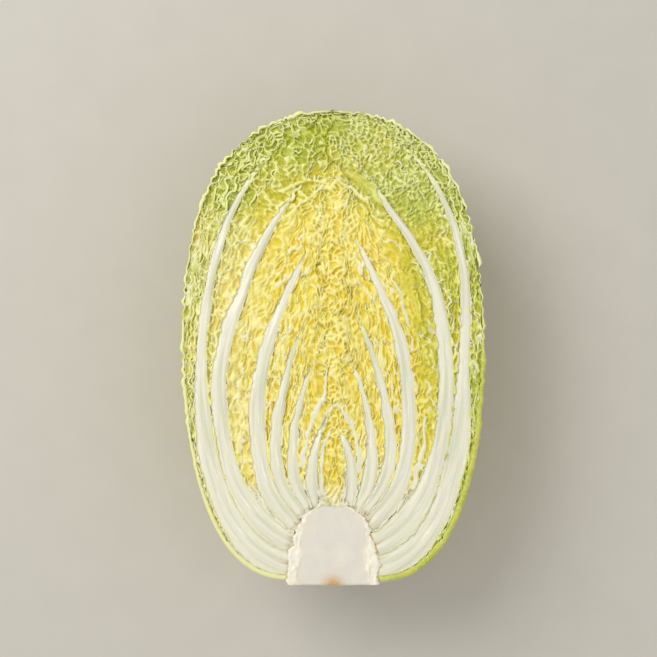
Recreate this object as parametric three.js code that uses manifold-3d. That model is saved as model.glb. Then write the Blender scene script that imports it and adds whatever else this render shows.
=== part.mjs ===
// Half of a napa cabbage head, cut lengthwise, lying on its rounded back with the cut face up.
//
// The head is a nest of leaves round a short stem core. Every leaf line of the nest is one member of a
// family of curves: a size of 1 is the skin of the head and a size near 0 is the bud at its heart. A leaf
// follows such a line from its root on the core to its tip, and wraps round the head's axis. Its white
// midrib is thick at the root and runs out towards the tip, and its blade is thin and crinkled.
//
// Millimetres. +X across the head, +Y from the stem end to the tip, +Z up. The cut face lies level on top.

import * as THREE from "three";
import { mergeVertices } from "three/addons/utils/BufferGeometryUtils.js";
import Module from "manifold-3d";

// ---- Driving dimensions ----------------------------------------------------------------------------

const HEAD_LENGTH = 280; // stem end to tip
const HEAD_WIDTH = 182; // across the widest part of the cut face
const HALF_DEPTH = 84; // cut face down to the flat that the half rests on
const CORE_LENGTH = 47.5; // trimmed stem end up to the core's dome
const CORE_HALF_WIDTH = 27;
const ROOT_GAP = 1.0; // clear space between the core and the leaf roots
const BLADE_HALF_THICKNESS = 0.8;
const FOLD_HALF_THICKNESS = 0.9; // added where the upper blade is gathered in folds at the cut
const ROW_SPACING = 10.5; // distance between the rows of points along a leaf
const CRINKLE_AT_CUT = 1.6; // height of the blade's crinkles where the knife went through
const CRINKLE_INSIDE = 0.9; // and deep inside, where the leaves press on each other
const CRINKLE_OUTSIDE = 1.5; // and on the open back of the outermost leaf

const BASE_Y = -HEAD_LENGTH / 2;
const TIP_Y = HEAD_LENGTH / 2;
const SKIN_RADIUS = HEAD_WIDTH / 2;
const DEPTH_PER_WIDTH = 0.928; // the half is a little shallower than it is wide
const BELLY_SWELL = 0.095; // the back is fuller near the stem, so the half lies level
const BELLY_Y = -72;
const BELLY_REACH = 36;

// Each leaf: the azimuth of its midrib in degrees (0 is the right edge of the cut face, 90 straight down,
// 180 the left edge), its size in the nest at the right edge, straight down and at the left edge, and the
// half thickness of its midrib. Leaves run from the outermost to the innermost.
const LEAVES = [
  { name: "leaf_01_outer", rib: 88, sizes: [0.968, 0.968, 0.968], ribHalf: 3.2 },
  { name: "leaf_02_left", rib: 180, sizes: [0, 0.9, 0.868], ribHalf: 3.4 },
  { name: "leaf_03_right", rib: 0, sizes: [0.892, 0.854, 0], ribHalf: 3.4 },
  { name: "leaf_04_back", rib: 101, sizes: [0.82, 0.803, 0.788], ribHalf: 1.8 },
  { name: "leaf_05_left", rib: 180, sizes: [0, 0.755, 0.708], ribHalf: 4.3 },
  { name: "leaf_06_right", rib: 0, sizes: [0.74, 0.704, 0], ribHalf: 4.3 },
  { name: "leaf_07_back", rib: 16, sizes: [0.615, 0.65, 0.63], ribHalf: 2.6 },
  { name: "leaf_08_left", rib: 180, sizes: [0, 0.6, 0.54], ribHalf: 5.0 },
  { name: "leaf_09_right", rib: 0, sizes: [0.5, 0.55, 0], ribHalf: 4.3 },
  { name: "leaf_10_back", rib: 158, sizes: [0.42, 0.495, 0.452], ribHalf: 1.6 },
  { name: "leaf_11_left", rib: 180, sizes: [0, 0.44, 0.378], ribHalf: 3.3 },
  { name: "leaf_12_right", rib: 0, sizes: [0.352, 0.39, 0], ribHalf: 3.1 },
  { name: "leaf_13_back", rib: 84, sizes: [0.288, 0.336, 0.308], ribHalf: 1.7 },
  { name: "leaf_14_left", rib: 180, sizes: [0, 0.286, 0.243], ribHalf: 2.3 },
  { name: "leaf_15_right", rib: 0, sizes: [0.226, 0.24, 0], ribHalf: 2.1 },
  { name: "leaf_16_back", rib: 92, sizes: [0.163, 0.192, 0.182], ribHalf: 1.2 },
  { name: "leaf_17_left", rib: 180, sizes: [0, 0.147, 0.128], ribHalf: 1.4 },
  { name: "leaf_18_right", rib: 0, sizes: [0.1, 0.104, 0], ribHalf: 1.2 },
];
const BUD_SIZE = 0.052;

// ---- Small maths -----------------------------------------------------------------------------------

const radians = THREE.MathUtils.degToRad;
const mix = THREE.MathUtils.lerp;
const smooth = (x, low, high) => THREE.MathUtils.smoothstep(x, low, high);

// Straight lines through [x, y] pairs, level beyond both ends.
function through(pairs, x) {
  const next = pairs.findIndex(([at]) => at >= x);
  if (next === 0) return pairs[0][1];
  if (next < 0) return pairs[pairs.length - 1][1];
  const [[x0, y0], [x1, y1]] = [pairs[next - 1], pairs[next]];
  return mix(y0, y1, (x - x0) / (x1 - x0));
}

// ---- The nest of leaf lines ------------------------------------------------------------------------

// The core's outline: a blunt dome on a broad foot. angle is 0 at the top and 90 degrees at the foot.
function coreOutline(angle, gap = 0) {
  const width = (CORE_HALF_WIDTH + gap) * Math.sin(radians(angle)) ** 0.45;
  return new THREE.Vector2(width, BASE_Y + (CORE_LENGTH + gap) * Math.cos(radians(angle)));
}

// One leaf line in the plane of the head's axis: out from the core, up to the widest point, and on to the
// tip. Outer lines close over in a round dome, and inner ones meet in a pointed arch.
const lines = new Map();
function leafLine(size) {
  const key = size.toFixed(4);
  if (lines.has(key)) return lines.get(key);
  const root = coreOutline(88 * size ** 1.25, ROOT_GAP);
  const widest = new THREE.Vector2(SKIN_RADIUS * size, BASE_Y + 48 + 102 * size ** 1.1);
  const sinks = 0.12 * (1 - size) + 0.88 * (1 - size) ** 2.7;
  const tip = new THREE.Vector2(0, TIP_Y - (TIP_Y - BASE_Y - 48) * sinks);
  const leaving = radians(93 * size ** 1.15);
  const reach = 0.25 * root.distanceTo(widest);
  const rise = tip.y - widest.y;
  const line = new THREE.CurvePath();
  line.add(
    new THREE.CubicBezierCurve(
      root,
      new THREE.Vector2(Math.sin(leaving), Math.cos(leaving)).multiplyScalar(reach).add(root),
      new THREE.Vector2(widest.x, widest.y - 0.62 * (widest.y - root.y)),
      widest,
    ),
  );
  line.add(
    new THREE.CubicBezierCurve(
      widest,
      new THREE.Vector2(widest.x, widest.y + rise * mix(0.38, 0.66, smooth(size, 0.5, 1))),
      new THREE.Vector2(
        widest.x * mix(0.25, 0.7, smooth(size, 0.5, 0.9)),
        tip.y - rise * mix(0.33, 0.01, smooth(size, 0.65, 0.95)),
      ),
      tip,
    ),
  );
  lines.set(key, line);
  return line;
}

// A point of the nest: along is 0 at the root and 1 at the tip, and lift moves it out of the leaf line.
function nestPoint(size, along, azimuth, lift) {
  const line = leafLine(size);
  const on = line.getPointAt(along);
  const way = line.getTangentAt(along);
  const radius = Math.max(on.x + way.y * lift, 0);
  const y = on.y - way.x * lift;
  const belly = 1 + BELLY_SWELL * Math.exp(-(((y - BELLY_Y) / BELLY_REACH) ** 2));
  return new THREE.Vector3(
    radius * Math.cos(radians(azimuth)),
    y,
    HALF_DEPTH - radius * Math.sin(radians(azimuth)) * DEPTH_PER_WIDTH * belly,
  );
}

// ---- A leaf ----------------------------------------------------------------------------------------

// How the size, the spread and the midrib of a leaf change round and along it.
function sizeAt(leaf, azimuth) {
  const [right, back, left] = leaf.sizes;
  return azimuth < 90
    ? mix(right || back, back, smooth(azimuth, 0, 90))
    : mix(back, left || back, smooth(azimuth, 90, 180));
}

const SPREAD = [[0, 52], [0.12, 62], [0.32, 92], [0.75, 96], [0.9, 84], [1, 58]];
const RIB_TAPER = [[0, 0.45], [0.07, 0.66], [0.2, 1], [0.35, 0.88], [0.55, 0.6], [0.75, 0.26], [1, 0.06]];
const RIB_WIDTH = [[0, 30], [0.3, 24], [0.6, 13], [1, 6]];

// The azimuths that bound the leaf at a distance along it. A side leaf starts at the knife's cut, and a
// back leaf reaches it on both sides once it is clear of the crowded roots.
function reachOf(leaf, along) {
  const spread = through(SPREAD, along);
  if (leaf.rib === 0) return [0, spread];
  if (leaf.rib === 180) return [180 - spread, 180];
  const half = leaf === LEAVES[0] ? 90 : Math.max(90 * smooth(along, -0.02, 0.3), 46);
  return [90 - half, 90 + half];
}

function ribHalf(leaf, along, azimuth) {
  const off = (azimuth - leaf.rib) / through(RIB_WIDTH, along);
  return leaf.ribHalf * through(RIB_TAPER, along) * Math.exp(-(off ** 2));
}

function bladeHalf(leaf, along, azimuth) {
  const fromCut = Math.min(azimuth, 180 - azimuth);
  const gathered = smooth(along, 0.35, 0.6) * (1 - smooth(fromCut, 8, 32)) * (1 - smooth(along, 0.8, 1));
  const crowded = smooth(sizeAt(leaf, azimuth), 0.1, 0.5);
  return BLADE_HALF_THICKNESS * mix(0.7, 1, crowded) + FOLD_HALF_THICKNESS * gathered * crowded;
}

// The crinkled blade: bumps and hollows in turn from one point of the leaf's grid to the next.
function crinkle(leaf, along, azimuth, row, column) {
  const fromCut = Math.min(azimuth, 180 - azimuth);
  const covered = leaf === LEAVES[0] ? CRINKLE_OUTSIDE : CRINKLE_INSIDE;
  const height = mix(CRINKLE_AT_CUT, covered, smooth(fromCut, 8, 40));
  const onBlade = smooth(along, 0.14, 0.42) * (1 - smooth(along, 0.85, 1) * 0.8);
  const offRib = 1 - Math.min(1, (ribHalf(leaf, along, azimuth) / 1.6) ** 2);
  const uneven = 0.75 + 0.25 * Math.sin(2.4 * row + 1.7 * column + leaf.rib);
  const crowded = mix(0.3, 1, smooth(sizeAt(leaf, azimuth), 0, 0.6));
  const bump = height * onBlade * offRib * uneven * crowded;
  return (row + column) % 2 === 0 ? bump : -bump;
}

// A closed sheet: a grid of rows and columns with an outer and an inner face, split alike on both.
function sheet(rows, columns, pointAt) {
  const positions = [];
  for (const face of [1, -1])
    for (let row = 0; row <= rows; row++)
      for (let column = 0; column <= columns; column++)
        positions.push(...pointAt(row, column, face).toArray());
  const wide = columns + 1;
  const id = (row, column, face) => row * wide + column + (face > 0 ? 0 : wide * (rows + 1));
  const index = [];
  const quad = (a, b, c, d) => index.push(a, b, c, a, c, d);
  for (let row = 0; row < rows; row++)
    for (let column = 0; column < columns; column++) {
      const corners = [[0, 0], [0, 1], [1, 1], [1, 0]].map(([i, j]) => [row + i, column + j]);
      quad(...corners.map(([i, j]) => id(i, j, 1)));
      const [a, b, c, d] = corners.map(([i, j]) => id(i, j, -1));
      index.push(a, c, b, a, d, c);
    }
  for (let row = 0; row < rows; row++) {
    quad(id(row, 0, 1), id(row + 1, 0, 1), id(row + 1, 0, -1), id(row, 0, -1));
    quad(id(row + 1, columns, 1), id(row, columns, 1), id(row, columns, -1), id(row + 1, columns, -1));
  }
  for (let column = 0; column < columns; column++) {
    quad(id(0, column + 1, 1), id(0, column, 1), id(0, column, -1), id(0, column + 1, -1));
    quad(id(rows, column, 1), id(rows, column + 1, 1), id(rows, column + 1, -1), id(rows, column, -1));
  }
  return new THREE.BufferGeometry()
    .setAttribute("position", new THREE.Float32BufferAttribute(positions, 3))
    .setIndex(index);
}

// Columns stand close together at the cut face, where the blade shows, and further apart inside.
const SIDE_COLUMNS = [0, 0.06, 0.16, 0.31, 0.5, 0.75, 1];
const BACK_COLUMNS = [0, 0.035, 0.1, 0.19, 0.3, 0.41, 0.5, 0.59, 0.7, 0.81, 0.9, 0.965, 1];
const OUTER_COLUMNS = [
  0, 0.03, 0.08, 0.14, 0.2, 0.26, 0.32, 0.38, 0.44, 0.5, 0.56, 0.62, 0.68, 0.74, 0.8, 0.86, 0.92, 0.97, 1,
];

function leafGeometry(leaf) {
  const onSide = leaf.rib === 0 || leaf.rib === 180;
  const outermost = leaf === LEAVES[0];
  const columnsAt = onSide ? SIDE_COLUMNS : outermost ? OUTER_COLUMNS : BACK_COLUMNS;
  const rows = Math.round(leafLine(Math.max(...leaf.sizes)).getLength() / ROW_SPACING);
  const tipAt = onSide ? 0.955 : outermost ? 0.99 : 0.972;
  return sheet(rows, columnsAt.length - 1, (row, column, face) => {
    const share = leaf.rib === 180 ? 1 - columnsAt[columnsAt.length - 1 - column] : columnsAt[column];
    const frayed = row === rows && column % 2 === 1 ? 0.012 : 0;
    const along = tipAt * (row / rows) - frayed;
    const [low, high] = reachOf(leaf, along);
    const azimuth = mix(low, high, share);
    const half = bladeHalf(leaf, along, azimuth) + ribHalf(leaf, along, azimuth);
    const lift = crinkle(leaf, along, azimuth, row, column) + face * half;
    return nestPoint(sizeAt(leaf, azimuth), along, azimuth, lift);
  });
}

// ---- The core and the bud --------------------------------------------------------------------------

// A half solid of rings round the head's axis, with a flat foot and the cut face on top.
function halfSolid(rings, columns, ringPoint, foot, tip) {
  const positions = [];
  for (let ring = 0; ring < rings; ring++)
    for (let column = 0; column <= columns; column++)
      positions.push(...ringPoint(ring, (180 * column) / columns).toArray());
  const footId = positions.length / 3;
  const tipId = footId + 1;
  positions.push(...foot.toArray(), ...tip.toArray());
  const id = (ring, column) => ring * (columns + 1) + column;
  const index = [];
  for (let column = 0; column < columns; column++) {
    for (let ring = 0; ring < rings - 1; ring++) {
      const [a, b] = [id(ring, column), id(ring, column + 1)];
      const [c, d] = [id(ring + 1, column + 1), id(ring + 1, column)];
      index.push(a, b, c, a, c, d);
    }
    index.push(footId, id(0, column + 1), id(0, column));
    index.push(tipId, id(rings - 1, column), id(rings - 1, column + 1));
  }
  for (let ring = 0; ring < rings - 1; ring++) {
    const [a, b] = [id(ring, 0), id(ring + 1, 0)];
    const [c, d] = [id(ring + 1, columns), id(ring, columns)];
    index.push(a, b, c, a, c, d);
  }
  index.push(footId, id(0, 0), id(0, columns));
  index.push(tipId, id(rings - 1, columns), id(rings - 1, 0));
  return new THREE.BufferGeometry()
    .setAttribute("position", new THREE.Float32BufferAttribute(positions, 3))
    .setIndex(index);
}

function round(radius, y, azimuth) {
  return new THREE.Vector3(
    radius * Math.cos(radians(azimuth)),
    y,
    HALF_DEPTH - radius * Math.sin(radians(azimuth)) * DEPTH_PER_WIDTH,
  );
}

// The stem core, with low rings of leaf scars up its side.
function coreGeometry() {
  const angles = [90, 84, 78, 72, 66, 59, 52, 44, 36, 27, 17, 8];
  const scar = (ring, azimuth) => 0.45 * ((ring % 2) - 1) * (0.6 + 0.4 * Math.sin(radians(azimuth * 7)));
  const ringPoint = (ring, azimuth) => {
    const on = coreOutline(angles[ring]);
    return round(on.x + scar(ring, azimuth), on.y, azimuth);
  };
  const foot = new THREE.Vector3(0, BASE_Y, HALF_DEPTH);
  const dome = new THREE.Vector3(0, BASE_Y + CORE_LENGTH, HALF_DEPTH);
  return halfSolid(angles.length, 18, ringPoint, foot, dome);
}

// The bud of folded leaflets at the heart, with upright pleats.
function budGeometry() {
  const line = leafLine(BUD_SIZE);
  const rings = 9;
  const ringPoint = (ring, azimuth) => {
    const on = line.getPointAt(0.03 + (0.9 * ring) / (rings - 1));
    const pleat = 0.12 * Math.cos(radians(azimuth * 9)) + 0.05 * (ring % 2);
    return round(on.x * (0.86 + pleat), on.y, azimuth);
  };
  const start = line.getPointAt(0.03);
  const end = line.getPointAt(1);
  return halfSolid(
    rings,
    18,
    ringPoint,
    new THREE.Vector3(0, start.y, HALF_DEPTH),
    new THREE.Vector3(0, end.y - 1, HALF_DEPTH),
  );
}

// ---- The flat that the half rests on ---------------------------------------------------------------

const wasm = await Module();
wasm.setup();

function toSolid(geometry) {
  const merged = mergeVertices(geometry, 1e-4);
  return new wasm.Manifold(
    new wasm.Mesh({
      numProp: 3,
      vertProperties: new Float32Array(merged.attributes.position.array),
      triVerts: new Uint32Array(merged.index.array),
    }),
  );
}

function toGeometry(solid) {
  const mesh = solid.getMesh();
  return new THREE.BufferGeometry()
    .setAttribute("position", new THREE.BufferAttribute(mesh.vertProperties, 3))
    .setIndex(new THREE.BufferAttribute(mesh.triVerts, 1));
}

// The outermost leaf is pressed flat along its midrib by the weight of the half.
function flattened(geometry) {
  const ground = new THREE.BoxGeometry(2 * HEAD_WIDTH, 2 * HEAD_LENGTH, HALF_DEPTH);
  ground.translate(0, 0, -HALF_DEPTH / 2);
  ground.deleteAttribute("normal");
  ground.deleteAttribute("uv");
  return toGeometry(toSolid(geometry).subtract(toSolid(ground)));
}

// ---- Assembly --------------------------------------------------------------------------------------

function vegetable(color, roughness) {
  return new THREE.MeshStandardMaterial({ color, roughness, metalness: 0 });
}

// Blades run from green at the skin of the head to yellow at its heart.
function leafColour(size) {
  const skin = new THREE.Color(0xa9b858);
  const middle = new THREE.Color(0xd5d27c);
  const heart = new THREE.Color(0xe9d45c);
  return size > 0.6
    ? middle.clone().lerp(skin, smooth(size, 0.6, 1))
    : heart.clone().lerp(middle, smooth(size, 0.15, 0.6));
}

const head = new THREE.Group();
head.name = "napa_cabbage_half";

function addPiece(name, geometry, material) {
  geometry.computeVertexNormals();
  const piece = new THREE.Mesh(geometry, material);
  piece.name = name;
  head.add(piece);
}

addPiece("core", coreGeometry(), vegetable(0xe6e2cf, 0.45));
addPiece("heart_bud", budGeometry(), vegetable(0xe6cc4a, 0.6));
for (const leaf of LEAVES) {
  const geometry = leafGeometry(leaf);
  const outermost = leaf === LEAVES[0];
  const colour = leafColour(Math.max(...leaf.sizes));
  addPiece(leaf.name, outermost ? flattened(geometry) : geometry, vegetable(colour, 0.55));
}

// The origin is on the surface that the half rests on, under the middle of its outline.
const bounds = new THREE.Box3().setFromObject(head);
const middle = bounds.getCenter(new THREE.Vector3());
head.position.set(-middle.x, -middle.y, -bounds.min.z);

export default head;
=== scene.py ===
"""The looks of half a napa cabbage head, cut lengthwise and lying on its rounded back.

The head is a nest of leaves round a short core. Every leaf follows a member of one family of curves, from
its root on the core to its tip on the head's axis. This script makes the fine skin of each leaf on the line
that its plain solid follows: white ribs, thin crinkled blades, the folds that fill the space between the
ribs at the cut face, and the veined back of the outermost leaf. Metres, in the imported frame.
"""

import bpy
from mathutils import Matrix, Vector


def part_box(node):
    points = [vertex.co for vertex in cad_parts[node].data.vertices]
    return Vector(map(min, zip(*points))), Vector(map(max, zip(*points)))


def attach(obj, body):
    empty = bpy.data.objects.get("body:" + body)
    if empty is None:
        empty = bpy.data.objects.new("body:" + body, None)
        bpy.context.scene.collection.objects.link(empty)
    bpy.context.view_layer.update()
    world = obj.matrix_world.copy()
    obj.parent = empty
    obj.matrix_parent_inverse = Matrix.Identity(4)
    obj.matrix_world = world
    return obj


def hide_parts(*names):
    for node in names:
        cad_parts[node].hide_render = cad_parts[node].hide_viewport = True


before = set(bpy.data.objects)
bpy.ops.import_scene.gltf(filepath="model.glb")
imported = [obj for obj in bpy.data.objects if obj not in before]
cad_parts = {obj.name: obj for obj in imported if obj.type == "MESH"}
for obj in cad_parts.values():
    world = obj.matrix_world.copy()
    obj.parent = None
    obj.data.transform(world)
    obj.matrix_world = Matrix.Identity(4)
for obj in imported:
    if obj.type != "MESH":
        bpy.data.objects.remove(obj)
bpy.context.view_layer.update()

import itertools
import logging
import math
from dataclasses import dataclass, field
from enum import Enum
from functools import lru_cache

import bpy
import numpy as np

LOG = logging.getLogger("napa_cabbage")
MM = 0.001
FAR_CELLS = 60

Array = np.ndarray
Values = np.ndarray | float
Piece = bpy.types.Object
Node = bpy.types.Node
Socket = bpy.types.NodeSocket


# ---- Small maths ----


def mix(start: Values, end: Values, share: Values) -> Values:
    """The value a share of the way from start to end."""
    return start + (end - start) * share


def smooth(x: Values, low: float, high: float) -> Array:
    """0 below low, 1 above high, and an easy curve between."""
    share = np.clip((np.asarray(x, float) - low) / (high - low), 0, 1)
    return share * share * (3 - 2 * share)


def rise(x: Values, low: float, high: float) -> Array:
    """The same curve, from low to high in millimetres."""
    return smooth(x, low * MM, high * MM)


def hump(x: Values, half: float) -> Array:
    """1 at zero, and near 0 beyond a half width in millimetres."""
    return np.exp(-((x / (half * MM)) ** 2))


def side_by_side(*parts: Values) -> Array:
    """Coordinates set side by side in a last axis."""
    return np.stack(np.broadcast_arrays(*parts), axis=-1)


def beside(*columns: Array) -> Array:
    """Blocks of columns set next to one another."""
    return np.concatenate(columns, axis=1)


def arc(start: Array, leave: Array, arrive: Array, end: Array) -> Array:
    """A smooth curve between two points.

    Args:
        start: where it starts.
        leave: the point that it heads for at first.
        arrive: the point that it comes from at last.
        end: where it ends.

    Returns:
        Its points, 300 of them.
    """
    share = np.linspace(0, 1, 300)[:, None]
    left = 1 - share
    return start * left**3 + 3 * leave * share * left**2 + 3 * arrive * share**2 * left + end * share**3


def outward_of(lines: Array) -> Array:
    """The outward direction at each point of a sheet of leaf lines.

    Args:
        lines: (radius, y) points, with one line down each column.

    Returns:
        One direction of length 1 for each point.
    """
    way = np.gradient(lines, axis=0)
    way /= np.maximum(np.linalg.norm(way, axis=2, keepdims=True), 1e-9)
    return side_by_side(way[..., 1], -way[..., 0])


@lru_cache(maxsize=None)
def lattice(seed: int, cells: int) -> Array:
    """A block of even random values between -1 and 1."""
    return np.random.default_rng(seed).uniform(-1, 1, (cells, cells, cells))


@dataclass(frozen=True)
class Grain:
    """Smooth noise between -1 and 1, the same on every run."""

    seed: int
    cells: int = 32

    def at(self, x: Array, y: Values = 0.0, z: Values = 0.0) -> Array:
        """The noise at points counted in cells.

        Args:
            x: first coordinate.
            y: second coordinate.
            z: third coordinate.

        Returns:
            One value for each point.
        """
        spots = np.broadcast_arrays(np.asarray(x, float), y, z)
        lows = [np.floor(spot).astype(int) for spot in spots]
        parts = [spot - low for spot, low in zip(spots, lows)]
        parts = [part * part * (3 - 2 * part) for part in parts]
        total = np.zeros(spots[0].shape)
        for corner in itertools.product((0, 1), repeat=3):
            weight = np.ones(spots[0].shape)
            for step, part in zip(corner, parts):
                weight = weight * (part if step else 1 - part)
            index = tuple((low + step) % self.cells for low, step in zip(lows, corner))
            total += weight * lattice(self.seed, self.cells)[index]
        return total

    def over(self, x: Array, y: Array, wide: float, tall: float, z: Values = 0.0) -> Array:
        """The noise at points of the cut face, in cells that are wide and tall in millimetres."""
        return self.at(x / (wide * MM) + FAR_CELLS, y / (tall * MM) + FAR_CELLS, z)


@dataclass(frozen=True)
class Cells:
    """Uneven cells that tile a sheet, the same on every run.

    long and wide are a cell's size along and across the leaves, and rim its rims' share of it.
    """

    seed: int
    long: float
    wide: float
    rim: float
    count: int = 32

    def at(self, along: Array, across: Array) -> tuple[Array, Array]:
        """The relief of folds that meet in a net: raised rims round tilted hollows.

        Args:
            along: place along the leaves.
            across: place across them.

        Returns:
            The height, from 0 to 1, and each cell's own shade between -1 and 1.
        """
        u, v = np.broadcast_arrays(along / self.long, across / self.wide)
        table = lattice(self.seed, self.count)
        first, second = np.full(u.shape, 9.0), np.full(u.shape, 9.0)
        floor, level, other, shade = (np.zeros(u.shape) for _ in range(4))
        for step_u, step_v in itertools.product((-1, 0, 1), repeat=2):
            i, j = np.floor(u).astype(int) + step_u, np.floor(v).astype(int) + step_v
            drawn = table[i % self.count, j % self.count, :6]
            off_u = u - (i + 0.5 + 0.42 * drawn[..., 0])
            off_v = v - (j + 0.5 + 0.42 * drawn[..., 1])
            gap = np.hypot(off_u, off_v)
            nearest = gap < first
            follows = ~nearest & (gap < second)
            other = np.where(nearest, level, np.where(follows, drawn[..., 4], other))
            second = np.where(nearest, first, np.where(follows, gap, second))
            first = np.where(nearest, gap, first)
            floor = np.where(nearest, drawn[..., 2] * off_u + drawn[..., 3] * off_v, floor)
            level = np.where(nearest, drawn[..., 4], level)
            shade = np.where(nearest, drawn[..., 5], shade)
        crest = 1 - smooth(second - first, 0.03, self.rim)
        floor = 0.28 + 0.16 * level + 0.55 * floor
        return np.clip(mix(floor, 0.8 + 0.13 * (level + other), crest), 0, 1), shade


# ---- The nest of leaf lines ----


class Side(Enum):
    """The two halves of the cut face."""

    RIGHT = 1
    LEFT = -1


@dataclass
class Nest:
    """The family of leaf lines. A size of 1 is the skin of the head and near 0 the bud at its heart."""

    length: float = 280 * MM
    width: float = 182 * MM
    core_length: float = 47.5 * MM
    core_half: float = 27 * MM
    root_gap: float = 1.0 * MM
    depth_per_width: float = 0.928
    belly_swell: float = 0.095
    belly_y: float = -72 * MM
    belly_reach: float = 36 * MM
    waist: float = 48 * MM
    widest_above: float = 102 * MM
    steps: int = 301
    sizes: Array = field(default_factory=lambda: np.linspace(0.03, 1.05, 103))

    def __post_init__(self) -> None:
        """Works out every line once, evenly spaced by length."""
        low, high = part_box("core")
        self.axis_x = (low.x + high.x) / 2
        self.shift_y = low.y + self.length / 2
        self.cut_z = high.z
        lines = [self._line(size) for size in self.sizes]
        self._spots = np.array([spots for spots, _ in lines])
        self._lengths = np.array([length for _, length in lines])
        ways = np.gradient(self._spots, axis=1)
        self._ways = ways / np.linalg.norm(ways, axis=2, keepdims=True)

    def core_outline(self, angle: Values, gap: float = 0.0) -> Array:
        """The core's outline as (radius, y): 0 degrees is the top of its dome, and 90 its foot."""
        across = (self.core_half + gap) * np.abs(np.sin(np.radians(angle))) ** 0.45
        return np.array([across, -self.length / 2 + (self.core_length + gap) * np.cos(np.radians(angle))])

    def _line(self, size: float) -> tuple[Array, float]:
        """One leaf line in the plane of the head's axis.

        Args:
            size: which member of the family.

        Returns:
            Its points as (radius, y), and its length.
        """
        base, top = -self.length / 2, self.length / 2
        waist = base + self.waist
        root = self.core_outline(min(88 * size**1.25, 90), self.root_gap)
        widest = np.array([self.width / 2 * size, waist + self.widest_above * size**1.1])
        sinks = 0.12 * (1 - size) + 0.88 * max(1 - size, 0) ** 2.7
        tip = np.array([0, top - (top - waist) * sinks])
        leaving = math.radians(93 * size**1.15)
        reach = 0.25 * np.linalg.norm(widest - root)
        span = tip[1] - widest[1]
        full = float(smooth(size, 0.5, 0.9))
        lower = arc(
            root,
            root + reach * np.array([math.sin(leaving), math.cos(leaving)]),
            np.array([widest[0], widest[1] - 0.62 * (widest[1] - root[1])]),
            widest,
        )
        inward = tip[1] - span * mix(0.33, 0.01, float(smooth(size, 0.65, 0.95)))
        upper = arc(
            widest,
            np.array([widest[0], widest[1] + span * mix(0.38, 0.66, float(smooth(size, 0.5, 1)))]),
            np.array([widest[0] * mix(0.25, 0.7, full), inward]),
            tip,
        )
        points = np.vstack([lower, upper[1:]])
        gone = np.concatenate([[0], np.cumsum(np.linalg.norm(np.diff(points, axis=0), axis=1))])
        even = np.linspace(0, gone[-1], self.steps)
        return np.stack([np.interp(even, gone, points[:, k]) for k in (0, 1)], axis=1), float(gone[-1])

    def _read(self, table: Array, size: Array, along: Array) -> Array:
        """A table's value between its sizes and steps.

        Args:
            table: a row for each size, with a value for each step along its line.
            size: the members of the family.
            along: 0 at the root to 1 at the tip.

        Returns:
            One value for each point.
        """
        u = np.clip((size - self.sizes[0]) / (self.sizes[1] - self.sizes[0]), 0, len(self.sizes) - 1.001)
        v = np.clip(along, 0, 1) * (self.steps - 1.001)
        i, j = u.astype(int), v.astype(int)
        a, b = (u - i)[..., None], (v - j)[..., None]
        low = mix(table[i, j], table[i, j + 1], b)
        return mix(low, mix(table[i + 1, j], table[i + 1, j + 1], b), a)

    def line_length(self, size: Values) -> Array:
        """The length of a leaf line."""
        return np.interp(size, self.sizes, self._lengths)

    def on_line(self, size: Array, along: Array, lift: Values = 0.0) -> Array:
        """Points on or beside a leaf line.

        Args:
            size: the members of the family.
            along: 0 at the root to 1 at the tip, and a little beyond either.
            lift: how far outward from the line, in metres.

        Returns:
            The points as (radius, y) in the last axis.
        """
        size, along = np.broadcast_arrays(np.asarray(size, float), along)
        spot, way = self._read(self._spots, size, along), self._read(self._ways, size, along)
        beyond = (along - np.clip(along, 0, 1)) * self.line_length(size)
        outward = side_by_side(way[..., 1], -way[..., 0])
        return spot + way * beyond[..., None] + outward * np.asarray(lift)[..., None]

    def kept_inside(self, spot: Array, size: float, gap: float) -> Array:
        """Moves points in where they are too near a leaf line, or outside it.

        Args:
            spot: the points as (radius, y).
            size: the leaf line.
            gap: how far inside it they stay.

        Returns:
            The points.
        """
        line = self.on_line(size, np.linspace(0, 1, self.steps))
        rising = np.maximum.accumulate(line[:, 1])
        furthest = np.interp(spot[..., 1], rising, line[:, 0]) - gap
        return side_by_side(np.minimum(spot[..., 0], furthest), spot[..., 1])

    def wrap(self, spot: Array, azimuth: Array) -> Array:
        """Turns points round the head's axis.

        Args:
            spot: the points as (radius, y).
            azimuth: 0 degrees at the right edge of the cut face, and 180 at its left edge.

        Returns:
            The points in the frame.
        """
        turn, y = np.radians(azimuth), spot[..., 1]
        radius = np.maximum(spot[..., 0], 0)
        belly = 1 + self.belly_swell * np.exp(-(((y - self.belly_y) / self.belly_reach) ** 2))
        x = self.axis_x + radius * np.cos(turn)
        z = self.cut_z - radius * np.sin(turn) * self.depth_per_width * belly
        return side_by_side(x, y + self.shift_y, z)

    def hang(self, spot: Array, side: Side, depth: Array) -> Array:
        """Puts (radius, y) points straight below the cut face, on one side of the axis."""
        x = self.axis_x + side.value * spot[..., 0]
        return side_by_side(x, spot[..., 1] + self.shift_y, self.cut_z - depth)


# ---- Leaves of the head ----


class Slot(Enum):
    """The record's material slots."""

    CORE = "core"
    GREEN = "leaf_green"
    PALE = "leaf_pale"
    YELLOW = "leaf_yellow"


@dataclass(frozen=True)
class CutRib:
    """How a leaf's midrib shows on the cut face.

    sizes are the leaf's sizes in the nest at CUT_STEPS, half its half thickness at its stoutest, ends the
    place along the leaf where it runs out, and closes the height below which its outer side has no gap.
    """

    sizes: tuple[float, ...]
    half: float
    ends: float
    closes: float


CUT_STEPS = (0.0, 0.2, 0.4, 0.6, 0.8, 1.0)


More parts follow.
